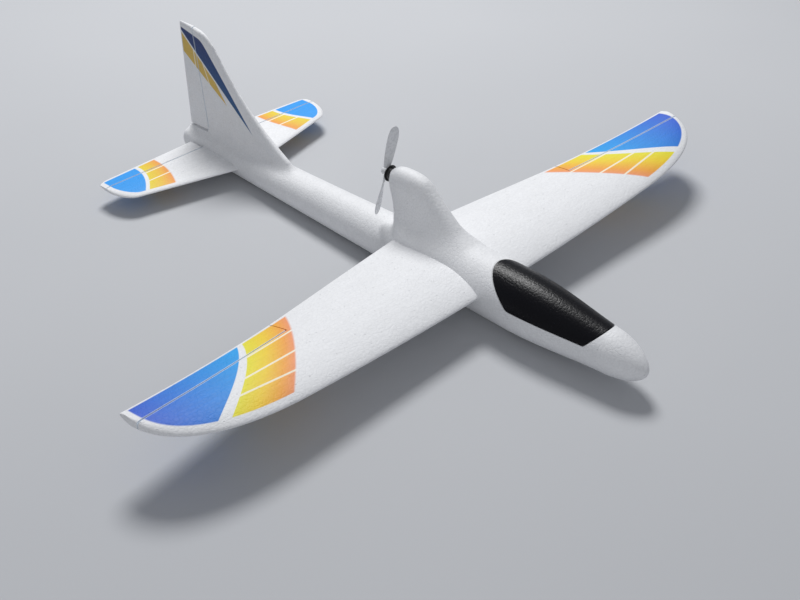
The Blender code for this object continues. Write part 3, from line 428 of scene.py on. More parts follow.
def hinge_region(start, end, height, reach, moving):
    along = (end - start).normalized()
    back = Vector((0.0, 1.0, 0.0))
    back = (back - along * back.dot(along)).normalized()
    up = along.cross(back)
    sign = 1 if moving else -1
    nose = sign * HINGE_GAP / 2
    edge = sign * (HINGE_GAP / 2 + HINGE_SLOPE * height)
    outline = [(nose, 0.0), (edge, height), (reach, height), (reach, -height), (edge, -height)]
    return prism([start + back * u + up * v for u, v in outline], end - start)


def wing_hinge_point(x):
    out = abs(x)
    le, te = wing_edges(out)
    y = te - AILERON_CHORD
    share = (y - le) / (te - le)
    camber = WING_CAMBER * min(1.0, (te - le) / WING_CHORD) ** 1.5
    return Vector((x, y, y * tan(INCIDENCE) + 4 * camber * share * (1 - share) + wing_lift(out)))


def tail_hinge_point(x):
    y = TAIL_ROOT_TE - ELEVATOR_CHORD
    return Vector((x, y, -TAIL_DROP - (TAIL_ROOT_TE - y) * tan(INCIDENCE)))


def aileron_hinge(side):
    return wing_hinge_point(side * AILERON_START), wing_hinge_point(side * (HALF_SPAN - 0.012))


def elevator_hinge(side):
    return tail_hinge_point(side * ELEVATOR_START), tail_hinge_point(side * (HALF_TAIL - 0.006))


def rudder_hinge():
    foot_y, top_y = FIN_TE - RUDDER_CHORD, FIN_TE - RUDDER_TOP_CHORD
    foot = Vector((0.0, foot_y, fuselage_top(foot_y) + RUDDER_FOOT_GAP))
    return foot, Vector((0.0, top_y, FIN_HEIGHT))


def spread(start, end, before, after):
    along = (end - start).normalized()
    return start - along * before, end + along * after


def mirrored(bm):
    bmesh.ops.scale(bm, vec=(-1.0, 1.0, 1.0), verts=bm.verts)
    bmesh.ops.recalc_face_normals(bm, faces=bm.faces)
    return bm


def surface_region(hinge, side, end_gap, moving):
    inner, outer = spread(*hinge(1), 0.0 if moving else end_gap, HALF_SPAN - AILERON_START)
    region = hinge_region(inner, outer, 4 * WING_THICKNESS, 2 * RUDDER_CHORD, moving)
    return region if side > 0 else mirrored(region)


def rudder_region(moving):
    foot, top = spread(*rudder_hinge(), 0.0 if moving else RUDDER_FOOT_GAP - CLEARANCE, FIN_HEIGHT)
    return hinge_region(foot, top, 2 * FIN_THICKNESS, 2 * RUDDER_CHORD, moving)


# ---- Pod, boom and pylon ----------------------------------------------------------------------

PYLON_KNOTS = [
    (-0.0060, -0.0860, 0.0045, 0.97 * PYLON_FLARE_HALF_WIDTH),
    (0.0040, -0.0800, 0.0055, PYLON_FLARE_HALF_WIDTH),
    (0.0100, -0.0700, 0.0065, 0.0160),
    (0.0150, -0.0588, 0.0074, 0.0120),
    (0.0209, -0.0470, 0.0086, 0.0098),
    (0.0256, -0.0413, 0.0100, 0.0088),
    (0.0322, -0.0340, 0.0122, 0.0081),
    (PYLON_TOP - 0.0109, -0.0287, 0.0128, PYLON_HALF_WIDTH),
    (PYLON_TOP - 0.0067, -0.0242, 0.0120, 0.92 * PYLON_HALF_WIDTH),
    (PYLON_TOP - 0.0031, -0.0201, 0.0090, 0.73 * PYLON_HALF_WIDTH),
    (PYLON_TOP - 0.0010, -0.0156, 0.0045, 0.45 * PYLON_HALF_WIDTH),
    (PYLON_TOP, -0.0098, -0.0030, 0.12 * PYLON_HALF_WIDTH),
]


def rounded(wave, power):
    return (1 if wave > 0 else -1) * abs(wave) ** (2 / power)


def pylon_at(z):
    """Leading edge, trailing edge and half width at a height."""
    return [smooth_curve([(k[0], k[n]) for k in PYLON_KNOTS], z) for n in (1, 2, 3)]


def pylon_blank(slices=70, sides=96):
    low, high = PYLON_KNOTS[0][0], PYLON_KNOTS[-1][0]
    rings = []
    for i in range(slices + 1):
        z = low + (high - low) * sin(pi / 2 * i / slices)
        le, te, half = pylon_at(z)
        middle, reach = (le + te) / 2, (te - le) / 2
        ring = []
        for j in range(sides):
            angle = 2 * pi * j / sides
            across = half * rounded(sin(angle), PYLON_POWER)
            along = reach * rounded(cos(angle), PYLON_POWER)
            ring.append(Vector((across, middle + along, z)))
        rings.append(ring)
    return loft(rings)


def fuselage_ring(y, grow=0.0, sides=96):
    radius = max(fuselage_radius(y) + grow, 0.0002)
    centre = fuselage_centre(y)
    turn = [2 * pi * i / sides for i in range(sides)]
    return [Vector((radius * sin(a), y, centre + radius * cos(a))) for a in turn]


def fuselage_blank(grow=0.0, low=NOSE_Y, high=TAIL_Y):
    nose = [NOSE_Y + NOSE_CONE_LENGTH * (1 - cos(pi / 2 * i / 30)) for i in range(30)]
    nose[0] += 0.00005
    long = [CONE_Y + (CAP_Y - CONE_Y) * i / 110 for i in range(111)]
    cap = [CAP_Y + BOOM_CAP_LENGTH * sin(pi / 2 * i / 16) for i in range(1, 16)]
    ys = [y for y in nose + long + cap + [TAIL_Y - 0.00005] if low <= y <= high]
    return loft([fuselage_ring(y, grow) for y in ys])


def canopy_block(grow):
    """The room of the canopy in side view, pushed out by grow, with its lower corners rounded."""
    foot = -CANOPY_FOOT_DROP - grow
    high = 1.2 * POD_RADIUS
    front_lean = (CANOPY_FRONT - CANOPY_FRONT_FOOT) / (CANOPY_FRONT_HEIGHT + CANOPY_FOOT_DROP)
    rear_lean = (CANOPY_REAR_FOOT - CANOPY_REAR) / (CANOPY_REAR_HEIGHT + CANOPY_FOOT_DROP)
    front = -CANOPY_FRONT_FOOT - grow * sqrt(1 + front_lean**2)
    rear = -CANOPY_REAR_FOOT + grow * sqrt(1 + rear_lean**2)
    half = 1.5 * POD_RADIUS
    outline = [
        Vector((-half, front, foot)),
        Vector((-half, rear, foot)),
        Vector((-half, rear + rear_lean * (high - foot), high)),
        Vector((-half, front - front_lean * (high - foot), high)),
    ]
    return prism(rounded_outline(outline, (0.0016, 0.0060, 0, 0)), (2 * half, 0.0, 0.0))


# ---- Materials --------------------------------------------------------------------------------


class Value:
    """A socket of a shader tree that can be used like a number."""

    def __init__(self, graph, socket):
        self.graph, self.socket = graph, socket

    def _math(self, operation, *others):
        return self.graph.math(operation, self, *others)

    def __add__(self, other):
        return self._math("ADD", other)

    def __sub__(self, other):
        return self._math("SUBTRACT", other)

    def __rsub__(self, other):
        return self.graph.math("SUBTRACT", other, self)

    def __mul__(self, other):
        return self._math("MULTIPLY", other)

    def __truediv__(self, other):
        return self._math("DIVIDE", other)

    __radd__, __rmul__ = __add__, __mul__

    def __pow__(self, other):
        return self._math("POWER", other)

    def minimum(self, other):
        return self._math("MINIMUM", other)

    def maximum(self, other):
        return self._math("MAXIMUM", other)

    def absolute(self):
        return self._math("ABSOLUTE")

    def clamped(self):
        return self.maximum(0.0).minimum(1.0)

    def above(self, edge, width):
        """0 below edge and 1 above it, over a soft step of that width."""
        return ((self - edge) / width + 0.5).clamped()

    def near(self, place, half, width=0.5):
        """1 within half of place and 0 beyond it, with soft edges."""
        return 1.0 - (self - place).absolute().above(half, width)


def past(value, edge, width=0.6):
    """1 where value is past edge, over a soft step. Either may be a plain number."""
    return (value - edge).above(0.0, width)


class Graph:
    """The shader tree of one material."""

    def __init__(self, name, roughness=0.5, metallic=0.0):
        self.material = bpy.data.materials.new(name)
        self.material.use_nodes = True
        self.tree = self.material.node_tree
        self.shader = self.tree.nodes["Principled BSDF"]
        self.shader.inputs["Roughness"].default_value = roughness
        self.shader.inputs["Metallic"].default_value = metallic
        self.coordinates = self.add("ShaderNodeTexCoord").outputs["Object"]

    def add(self, kind, **settings):
        node = self.tree.nodes.new(kind)
        for key, value in settings.items():
            setattr(node, key, value)
        return node

    def link(self, value, socket):
        if isinstance(value, Value):
            value = value.socket
        if isinstance(value, bpy.types.NodeSocket):
            self.tree.links.new(value, socket)
        elif isinstance(value, tuple) and len(value) == 3 and len(socket.default_value) == 4:
            socket.default_value = (*value, 1.0)
        else:
            socket.default_value = value

    def math(self, operation, *values):
        node = self.add("ShaderNodeMath", operation=operation)
        for value, socket in zip(values, node.inputs):
            self.link(value, socket)
        return Value(self, node.outputs[0])

    def axes(self):
        node = self.add("ShaderNodeSeparateXYZ")
        self.link(self.coordinates, node.inputs[0])
        return [Value(self, socket) for socket in node.outputs]

    def mapped(self, scale):
        node = self.add("ShaderNodeMapping")
        self.link(self.coordinates, node.inputs["Vector"])
        node.inputs["Scale"].default_value = scale
        return node.outputs[0]

    def noise(self, size, detail=2.0, stretch=(1, 1, 1)):
        node = self.add("ShaderNodeTexNoise")
        self.link(self.mapped(stretch), node.inputs["Vector"])
        node.inputs["Scale"].default_value = 1.0 / size
        node.inputs["Detail"].default_value = detail
        return Value(self, node.outputs["Fac"])

    def cells(self, size, feature="F1"):
        node = self.add("ShaderNodeTexVoronoi", feature=feature)
        self.link(self.coordinates, node.inputs["Vector"])
        node.inputs["Scale"].default_value = 1.0 / size
        return Value(self, node.outputs["Distance"])

    def mix(self, share, first, second, way="MIX"):
        node = self.add("ShaderNodeMix", data_type="RGBA", blend_type=way)
        for value, socket in zip((share, first, second), (node.inputs[i] for i in (0, 6, 7))):
            self.link(value, socket)
        return node.outputs[2]

    def multiplied(self, colour, tone):
        return self.mix(1.0, colour, tone, "MULTIPLY")

    def ramp(self, value, *stops):
        node = self.add("ShaderNodeValToRGB")
        self.link(value, node.inputs[0])
        band = node.color_ramp
        while len(band.elements) < len(stops):
            band.elements.new(0.5)
        for element, (place, colour) in zip(band.elements, stops):
            element.position = place
            element.color = (*colour, 1.0)
        return node.outputs[0]

    def bump(self, height, distance, strength):
        node = self.add("ShaderNodeBump")
        for name, value in (("Height", height), ("Distance", distance), ("Strength", strength)):
            self.link(value, node.inputs[name])
        return node.outputs[0]

    def finish(self, colour, roughness=None, normal=None, **constants):
        for name, value in (("Base Color", colour), ("Roughness", roughness), ("Normal", normal)):
            if value is not None:
                self.link(value, self.shader.inputs[name])
        for key, value in constants.items():
            self.shader.inputs[key.replace("_", " ")].default_value = value
        return self.material


WHITE = (0.80, 0.805, 0.82)
GRAIN, CLOUD, BEAD, PIT_SPACING = 0.0011, 0.0070, 0.0028, 0.0050
ALONG_SPAN = (0.40, 1.0, 1.0)                # the moulding's fine streaks run along the span


def paint(red, green, blue):
    """A colour as a screen shows it, from 0 to 255, in the linear values that materials take."""
    shares = (c / 255 for c in (red, green, blue))
    return tuple(c / 12.92 if c < 0.0405 else ((c + 0.055) / 1.055) ** 2.4 for c in shares)


def foam(graph):
    """(colour, roughness, bump) of moulded bead foam: streaks along the span, faint beads and pits, with
    painted shade darkening the bead grooves and pits.
    """
    grain = graph.noise(GRAIN, 4.0, ALONG_SPAN)
    cloud = graph.noise(CLOUD, 3.0, ALONG_SPAN)
    bead = graph.cells(BEAD, "DISTANCE_TO_EDGE")
    pit = 1.0 - graph.cells(PIT_SPACING, "F1").above(0.085, 0.05)
    groove = 1.0 - (bead / 0.14).clamped()
    # painted shade: the colour is darkened in the bead grooves and pits, the dents that the bump sinks
    tone = 0.87 + 0.20 * grain + 0.09 * cloud - 0.03 * groove - 0.12 * pit
    height = 0.70 * grain + 0.45 * cloud - 0.25 * groove - 0.6 * pit
    return graph.multiplied(WHITE, tone), 0.50 + 0.16 * grain, graph.bump(height, 0.00042, 0.65)


def datum_mm(graph):
    """(out from the centre plane, back from the datum, up) in millimetres, as the prints use."""
    x, y, z = graph.axes()
    return 1000 * x.absolute(), 1000 * (y - SHIFT.y), 1000 * (z - SHIFT.z)


def arc(at, start, slope, bend, origin):
    """The parabola that a printed edge follows."""
    step = at - origin
    return start + slope * step + bend * step * step


CREAM = paint(244, 238, 214)
GROOVE = paint(226, 234, 242)                # foam laid bare where a surface is scored
STREAK, ALONG_PRINT, DOWN_PRINT = 0.0016, (0.10, 1.0, 1.0), (1.0, 0.12, 1.0)


def scored(graph, shade, line):
    return graph.mix(line * 0.75, shade, GROOVE)


def tip_print(graph, shade, out, edges, inside, bars, tip, fade):
    """Bars between the first two edges and a plain tip past the third, all inside the border."""
    inner, outer, tip_edge = edges
    shade = graph.mix(past(out, inner, fade) * past(outer, out) * inside, shade, bars)
    return graph.mix(past(out, tip_edge) * inside, shade, tip)


def wing_look():
    """The wing's print: a blue tip and four yellow to orange bars, edged by curves round the root."""
    graph = Graph("foam_wing")
    shade, roughness, normal = foam(graph)
    out, back, _ = datum_mm(graph)
    ahead = 0.0 - back
    share = out / (1000 * HALF_SPAN)
    trailing = 1000 * WING_TE_FORWARD * (share + 0.22 * share * (1.0 - share))
    tip_start, corner = 1000 * (HALF_SPAN - TIP_ROUND_SPAN), 1000 * TIP_CORNER_FORWARD
    side_border, front_border, rear_border = 4.2, 4.6, 1.5
    into = (out - tip_start).maximum(0.0) / (1000 * TIP_ROUND_SPAN - side_border)
    depth = (ahead - corner).maximum(0.0) / (1000 * WING_CHORD - corner - front_border)
    inside = 1.0 - (into**TIP_ROUND_POWER + depth**TIP_ROUND_POWER).above(1.0, 0.03)
    inside = inside * (ahead - trailing).above(rear_border, 0.7)
    inner = arc(ahead, 119.0, 0.4456, 0.00463, 18.5)
    outer = arc(ahead, 154.5, 0.3375, 0.0109, 22.5)
    tip_edge = arc(ahead, 158.0, 0.45, 0.0115, 22.5)
    streak = graph.noise(STREAK, 3.0, ALONG_PRINT)
    blue = graph.mix(((out - 165.0) / 72.0).clamped(), paint(22, 158, 232), paint(50, 92, 205))
    blue = graph.multiplied(blue, 0.86 + 0.28 * streak)
    bars = graph.ramp(
        ((out - inner) / (outer - inner)).clamped(),
        (0.0, paint(238, 150, 105)), (0.22, paint(240, 165, 62)),
        (0.60, paint(238, 205, 45)), (1.0, paint(228, 222, 48)),
    )
    bars = graph.multiplied(bars, 0.93 + 0.14 * streak)
    for place, slope in ((37.5, 0.09), (53.0, 0.04), (65.8, -0.06)):
        bars = graph.mix(ahead.near(place + slope * (out - 150.0), 0.62, 0.55), bars, CREAM)
    shade = tip_print(graph, shade, out, (inner, outer, tip_edge), inside, bars, blue, 1.6)
    start, end = (1000 * point for point in aileron_hinge(1))
    hinge = (out - start.x) * ((start.y - end.y) / (end.x - start.x)) - start.y
    shade = scored(graph, shade, ahead.near(hinge, 0.75) * out.above(start.x, 0.5))
    return graph.finish(shade, roughness, normal)


def tail_look():
    """The tailplane's print: blue tips and three yellow bars."""
    graph = Graph("foam_tail")
    shade, roughness, normal = foam(graph)
    out, back, _ = datum_mm(graph)
    root, chord, corner = 1000 * TAIL_ROOT_TE, 1000 * TAIL_CHORD, 1000 * TAIL_CORNER
    side_border, front_border, rear_border = 3.7, 3.5, 1.8
    tip = 1000 * HALF_TAIL - side_border
    into = ((out - (tip - corner)) / corner).clamped()
    leading = root - chord + TAIL_LE_SWEEP * out + front_border
    leading = leading + 1.5 * corner * (1.0 - (1.0 - into * into) ** 0.5)
    trailing = root - TAIL_TE_SWEEP * out - rear_border
    inside = past(back, leading) * past(trailing, back) * past(tip, out)
    ahead = 216.5 - back
    inner, outer = arc(ahead, 49.8, 0.0, 0.0060, 0.0), arc(ahead, 64.8, 0.0, 0.0127, 0.0)
    tip_edge = arc(ahead, 67.7, 0.0, 0.0133, 0.0)
    streak = graph.noise(STREAK, 3.0, ALONG_PRINT)
    blue = graph.multiplied(paint(28, 152, 236), 0.86 + 0.28 * streak)
    bars = graph.ramp(
        ((out - inner) / (outer - inner)).clamped(),
        (0.0, paint(236, 150, 72)), (0.5, paint(232, 190, 55)), (1.0, paint(230, 208, 50)),
    )
    for place in (206.3, 194.7):
        bars = graph.mix(back.near(place, 0.55), bars, CREAM)
    shade = tip_print(graph, shade, out, (inner, outer, tip_edge), inside, bars, blue, 1.2)
    shade = scored(graph, shade, back.near(1000 * (TAIL_ROOT_TE - ELEVATOR_CHORD), 0.6))
    return graph.finish(shade, roughness, normal)


def fin_look():
    """The fuselage's white foam, with the fin's print: a navy blade over gold bars."""
    graph = Graph("foam_fuselage")
    shade, roughness, normal = foam(graph)
    _, back, up = datum_mm(graph)
    navy_low = 17.3 + 0.739 * (back - 159.3)
    front_line = 21.2 + 1.08 * (back - 161.9)
    top_line = 72.8 + 0.12 * (back - 212.5)
    navy_high = graph.math("SMOOTH_MIN", front_line, top_line, 6.0)
    rear_border, stripe = 1.3, 1.8
    rear = past(1000 * FIN_TE - rear_border, back)
    in_navy = past(up, navy_low) * past(navy_high, up) * rear
    gold_low = 30.3 + 0.56 * (back - 188.2)
    gold_front = 32.2 + 1.26 * (back - 187.9)
    in_gold = past(navy_low - stripe, up) * past(up, gold_low) * past(gold_front, up) * rear
    streak = graph.noise(STREAK, 3.0, DOWN_PRINT)
    navy = graph.mix(((up - 20.0) / 50.0).clamped(), paint(12, 84, 136), paint(10, 46, 108))
    navy = graph.multiplied(navy, 0.80 + 0.40 * streak)
    gold = graph.multiplied(paint(214, 180, 84), 0.88 + 0.24 * streak)
    for place, height, lean in ((220.5, 49.0, 0.0625), (204.5, 39.0, 0.417)):
        gold = graph.mix(back.near(place + lean * (up - height), 0.5), gold, CREAM)
    shade = graph.mix(in_navy, graph.mix(in_gold, shade, gold), navy)
    foot, top = (1000 * point for point in rudder_hinge())
    hinge = foot.y + (up - foot.z) * ((top.y - foot.y) / (top.z - foot.z))
    shade = scored(graph, shade, back.near(hinge, 0.6) * up.above(foot.z, 0.5))
    return graph.finish(shade, roughness, normal)


WING_LOOK, TAIL_LOOK, FIN_LOOK = wing_look(), tail_look(), fin_look()
CREASE_GRAPH = Graph("foam_crease")
CREASE_LOOK = CREASE_GRAPH.finish(*foam(CREASE_GRAPH))


def finish_look(name, first, second, size, roughness, metallic=0.0, stretch=(1, 1, 1), **constants):
    """A moulded or drawn finish: two tones, a varying roughness and a fine bump of one grain size."""
    graph = Graph(name, roughness, metallic)
    grain = graph.noise(size, 4.0, stretch)
    return graph.finish(
        graph.mix(((grain - 0.35) / 0.3).clamped(), first, second),
        roughness - 0.06 + 0.12 * grain,
        graph.bump(grain, 0.00004, 0.6),
        **constants,
    )


def canopy_finish():
    """Black film over foam: deep black with a fine sparkle where the light meets the beads."""
    graph = Graph("canopy_black")
    grain = graph.noise(0.0010, 4.0)
    bead = graph.cells(0.0028, "DISTANCE_TO_EDGE")
    height = 0.8 * grain + 0.25 * (bead / 0.2).clamped()
    colour = graph.mix(grain, (0.0008, 0.0008, 0.0020), (0.0024, 0.0024, 0.0048))
    normal = graph.bump(height, 0.00030, 0.55)
    return graph.finish(colour, 0.22 + 0.20 * grain, normal, Specular_IOR_Level=0.20)


def board_finish():
    """Green solder mask with faint tracks and pads."""
    graph = Graph("board_green", 0.35)
    track = graph.cells(0.0030, "DISTANCE_TO_EDGE")
    lines = 1.0 - (track / 0.08).clamped()
    pads = 1.0 - graph.cells(0.0022, "F1").above(0.14, 0.03)
    green = graph.mix(lines * 0.55, (0.010, 0.12, 0.045), (0.035, 0.26, 0.10))
    colour = graph.mix(pads, green, (0.62, 0.60, 0.52))
    return graph.finish(colour, 0.32 + 0.1 * graph.noise(0.001), graph.bump(lines + pads, 0.00004, 0.7))


def foil_finish():
    """The cell's aluminium pouch, slightly wrinkled."""
    graph = Graph("cell_silver", 0.34, 0.85)
    wrinkle = graph.noise(0.0060, 5.0, (1.0, 0.6, 1.0))
    colour = graph.mix(wrinkle, (0.42, 0.43, 0.47), (0.60, 0.61, 0.64))
    return graph.finish(colour, 0.26 + 0.2 * wrinkle, graph.bump(wrinkle, 0.00035, 0.6))


def tape_finish():
    """Open-cell foam tape, with painted shade darkening the middle of each pore."""
    graph = Graph("tape", 0.85)
    cell = graph.cells(0.0009, "F1")
    # painted shade: darker towards the middle of each cell, where the bump sinks the pores
    colour = graph.mix(cell, (0.56, 0.52, 0.42), (0.80, 0.77, 0.67))
    return graph.finish(colour, 0.80 + 0.1 * cell, graph.bump(cell, 0.00012, 0.7))


CANOPY_LOOK = canopy_finish()
STEEL_LOOK = finish_look(
    "steel", (0.46, 0.46, 0.48), (0.66, 0.66, 0.68), 0.0006, 0.30, 1.0, stretch=(1, 0.15, 1))
BLACK_LOOK = finish_look("black_plastic", (0.010, 0.010, 0.011), (0.022, 0.022, 0.024), 0.0005, 0.38)
PROPELLER_LOOK = finish_look("propeller_grey", (0.66, 0.67, 0.69), (0.76, 0.77, 0.79), 0.0016, 0.28)
TRAY_LOOK = finish_look("tray_grey", (0.66, 0.665, 0.68), (0.74, 0.745, 0.76), 0.0010, 0.36)
LED_LOOK = finish_look("led_red", (0.60, 0.020, 0.012), (0.85, 0.060, 0.040), 0.0008, 0.16, Coat_Weight=0.6)
CHIP_LOOK = finish_look("chip_black", (0.012, 0.012, 0.013), (0.030, 0.030, 0.032), 0.0004, 0.55)
SOLDER_LOOK = finish_look("solder", (0.58, 0.58, 0.60), (0.74, 0.74, 0.75), 0.0007, 0.25, 1.0)
CAPACITOR_LOOK = finish_look("capacitor_tan", (0.42, 0.27, 0.13), (0.55, 0.38, 0.20), 0.0005, 0.42)
WIRE_RED_LOOK = finish_look("wire_red", (0.48, 0.008, 0.008), (0.66, 0.020, 0.016), 0.0007, 0.42)
WIRE_BLACK_LOOK = finish_look("wire_black", (0.008, 0.008, 0.009), (0.018, 0.018, 0.020), 0.0007, 0.42)
BOARD_LOOK, FOIL_LOOK, TAPE_LOOK = board_finish(), foil_finish(), tape_finish()

# ---- The foam airframe ------------------------------------------------------------------------


MOTOR_CENTRE = (0.0, 0.0, MOTOR_AXIS_HEIGHT)
PROPELLER_CENTRE = (0.0, PROPELLER_PLANE, MOTOR_AXIS_HEIGHT)
VOXEL = 0.0010
PYLON_FILLET, FIN_FILLET = 0.009, 0.006      # how far from the joint the foam is smoothed


def make_fuselage():
    skin = new_object("fuselage_foam", fuselage_blank())
    boolean(skin, "UNION", pylon_blank(), fin_blank())
    remesh = skin.modifiers.new("remesh", "REMESH")
    remesh.mode = "VOXEL"
    remesh.voxel_size = VOXEL
    bake(skin)
    mesh = skin.data
    count = len(mesh.vertices)
    points = np.empty(count * 3)
    mesh.vertices.foreach_get("co", points)
    points = points.reshape(-1, 3) - np.array(SHIFT)
    weights = np.empty(count)
    for i, (x, y, z) in enumerate(points):
        off_pod = abs(sqrt(x * x + (z - fuselage_centre(y)) ** 2) - fuselage_radius(y))
        weights[i] = 0.0
        if -0.11 < y < 0.02:
            le, te, half = pylon_at(z)
            middle, reach = (le + te) / 2, (te - le) / 2
            share = abs(x / half) ** PYLON_POWER + abs((y - middle) / reach) ** PYLON_POWER
            share = share ** (1 / PYLON_POWER)
            off_pylon = abs(share - 1) * min(half, reach)
            weights[i] = max(0.0, 1 - sqrt(off_pod**2 + off_pylon**2) / PYLON_FILLET)
        elif y > FIN_START - 0.02 and z < 0.02:
            weights[i] = max(0.0, 0.8 - max(off_pod, abs(abs(x) - 0.004)) / FIN_FILLET)
    relax(mesh, np.minimum(1.0, 2.0 * weights) * 0.6, 60)
    relax(mesh, np.full(count, 0.4), 3)
    mouth, bend = Vector((0.0, *TUNNEL_MOUTH)), Vector((0.0, *TUNNEL_BEND))
    top = Vector((0.0, BORE_FRONT_Y + 0.003, MOTOR_AXIS_HEIGHT - 0.0018))
    first, second = (bend - mouth).normalized(), (top - bend).normalized()
    half_bay, half_pocket = BAY_WIDTH / 2, TRAY_WIDTH / 2 + CLEARANCE
    bore = SLEEVE_RADIUS + 0.0001
    boolean(
        skin, "DIFFERENCE",
        rudder_region(moving=False),
        canopy_block(SEAM),
        box((-half_bay, BAY_LOW_Y, -BAY_DROP), (half_bay, BAY_HIGH_Y, POD_RADIUS), 0.0008),
        box(
            (-half_pocket, TRAY_LOW_Y - CLEARANCE, -0.05),
            (half_pocket, TRAY_HIGH_Y + CLEARANCE, -POCKET_DROP)),
        turned([(BORE_FRONT_Y, bore), (PROPELLER_PLANE, bore)], MOTOR_CENTRE),
        rod(mouth - first * 0.002, bend + first * 0.0008, TUNNEL_RADIUS),
        rod(bend - second * 0.0008, top, TUNNEL_RADIUS),
        rod((0.0, BAY_HIGH_Y - 0.002, -LEAD_TUNNEL_DROP), (0.0, TRAY_LOW_Y + 0.001, -LEAD_TUNNEL_DROP),
            LEAD_TUNNEL_RADIUS),
    )
    piece(skin, FIN_LOOK, "airframe", "foam", "fuselage")


def make_canopy():
    canopy = new_object("canopy_shell", fuselage_blank(0.0, -0.186, -0.04))
    boolean(canopy, "INTERSECT", canopy_block(-SEAM))
    foot = -CANOPY_FOOT_DROP
    rim = BAY_WIDTH / 2 - CLEARANCE
    low_y, high_y = BAY_LOW_Y + CLEARANCE, BAY_HIGH_Y - CLEARANCE
    boolean(canopy, "UNION", box(
        (-rim, low_y, foot - CANOPY_RIM_DEPTH),
        (rim, high_y, foot + CANOPY_WALL / 2), 0.0005))
    inner = rim - CANOPY_RIM_WALL
    hollow = new_object("hollow", fuselage_blank(-CANOPY_WALL, -0.186, -0.04))
    boolean(hollow, "INTERSECT", box(
        (-inner, low_y + CANOPY_RIM_WALL, foot - 2 * CANOPY_RIM_DEPTH),
        (inner, high_y - CANOPY_RIM_WALL, POD_RADIUS)))
    passage = box(
        (-2 * TUNNEL_RADIUS, high_y - 0.008, foot - 2 * CANOPY_RIM_DEPTH),
        (2 * TUNNEL_RADIUS, TUNNEL_MOUTH[0] + 0.004, TUNNEL_MOUTH[1] + 2 * TUNNEL_RADIUS))
    boolean(canopy, "DIFFERENCE", hollow, passage)
    piece(canopy, CANOPY_LOOK, "canopy", "canopy_black", "canopy")


SIDES = {-1: "right", 1: "left"}


def make_surface(name, blank, parent, hinge, side, end_gap, look, slot):
    """Cuts one control surface off its parent, and makes it from the same blank."""
    boolean(parent, "DIFFERENCE", surface_region(hinge, side, end_gap, moving=False))
    surface = new_object(name + "_foam", blank())
    boolean(surface, "INTERSECT", surface_region(hinge, side, end_gap, moving=True))
    piece(surface, look, name, slot, name)


def make_wing():
    wing = new_object("wing_foam", wing_blank())
    for side, word in SIDES.items():
        name = "aileron_" + word
        make_surface(name, wing_blank, wing, aileron_hinge, side, END_GAP, WING_LOOK, "foam_blue")
    piece(wing, WING_LOOK, "airframe", "foam", "wing")


def make_tailplane():
    tail = new_object("tailplane_foam", tail_blank())
    inside_boom = ELEVATOR_START - 0.9 * BOOM_TAIL_RADIUS
    for side, word in SIDES.items():
        name = "elevator_" + word
        make_surface(name, tail_blank, tail, elevator_hinge, side, inside_boom, TAIL_LOOK, "foam")
    piece(tail, TAIL_LOOK, "airframe", "foam", "tailplane")


def make_rudder():
    rudder = new_object("rudder_foam", fin_blank())
    boolean(rudder, "INTERSECT", rudder_region(moving=True))
    piece(rudder, FIN_LOOK, "rudder", "foam", "rudder")


WEB_HALF_HEIGHT, WEB_REACH, WEB_BEND, WEB_END = 0.00025, 0.0010, 0.0004, 0.0012


def crease_web(name, inner, outer):
    """The thin skin of foam left at the bottom of a scored hinge."""
    along = (outer - inner).normalized()
    back = Vector((0.0, 1.0, 0.0))
    back = (back - along * back.dot(along)).normalized()
    up = along.cross(back)
    across = [-WEB_REACH, *(WEB_BEND * share for share in (-1.0, -0.5, 0.0, 0.5, 1.0)), WEB_REACH]
    outline = [(v, WEB_HALF_HEIGHT) for v in across] + [(v, -WEB_HALF_HEIGHT) for v in across[::-1]]
    start, end = inner + along * WEB_END, outer - along * WEB_END
    rings = [[place + back * v + up * h for v, h in outline] for place in (start, end)]
    web = new_object(name + "_crease", loft(rings))
    smooth(web)
    web.data.materials.append(CREASE_LOOK)
    middle = start + SHIFT
    bend = back * WEB_BEND
    tuple(middle - bend)
    tuple(middle + bend)
    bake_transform(web)


def mirror_point(point, side):
    return Vector((side * point.x, point.y, point.z))


def make_creases():
    for side, word in SIDES.items():
        for part, hinge in (("aileron_", aileron_hinge), ("elevator_", elevator_hinge)):
            inner, outer = (mirror_point(point, side) for point in hinge(1))
            crease_web(part + word, inner, outer)
    foot, top = rudder_hinge()
    crease_web("rudder", foot, foot + (top - foot) * 0.96)


# ---- Motor and propeller ----------------------------------------------------------------------


def datum_box(node):
    low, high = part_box(node)
    return Vector(low) - SHIFT, Vector(high) - SHIFT


def blade(turn, steps=30, points=28):
    """One twisted blade along +X, turned about the shaft."""
    root = 0.45 * HUB_RADIUS
    rings = []
    for i in range(steps + 1):
        radius = root + (PROPELLER_RADIUS - root) * sin(pi / 2 * i / steps)
        pitch = atan(PROPELLER_PITCH / (2 * pi * max(radius, 2 * HUB_RADIUS)))
        part = radius / PROPELLER_RADIUS
        chord = PROPELLER_CHORD * (0.45 + 1.15 * part - 0.45 * part**2) * sqrt(max(0.03, 1 - part**8))
        thickness = PROPELLER_THICKNESS * (1 - 0.55 * part)
        ring = []
        for j in range(points):
            along = chord / 2 * cos(2 * pi * j / points)
            across = thickness / 2 * sin(2 * pi * j / points)
            y = along * sin(pitch) + across * cos(pitch)
            z = along * cos(pitch) - across * sin(pitch)
            ring.append(Vector((radius, y, z)))
        rings.append(ring)
    bm = loft(rings)
    bmesh.ops.rotate(bm, cent=(0, 0, 0), matrix=Matrix.Rotation(turn, 3, "Y"), verts=bm.verts)
    bmesh.ops.translate(bm, vec=PROPELLER_CENTRE, verts=bm.verts)
    return bm


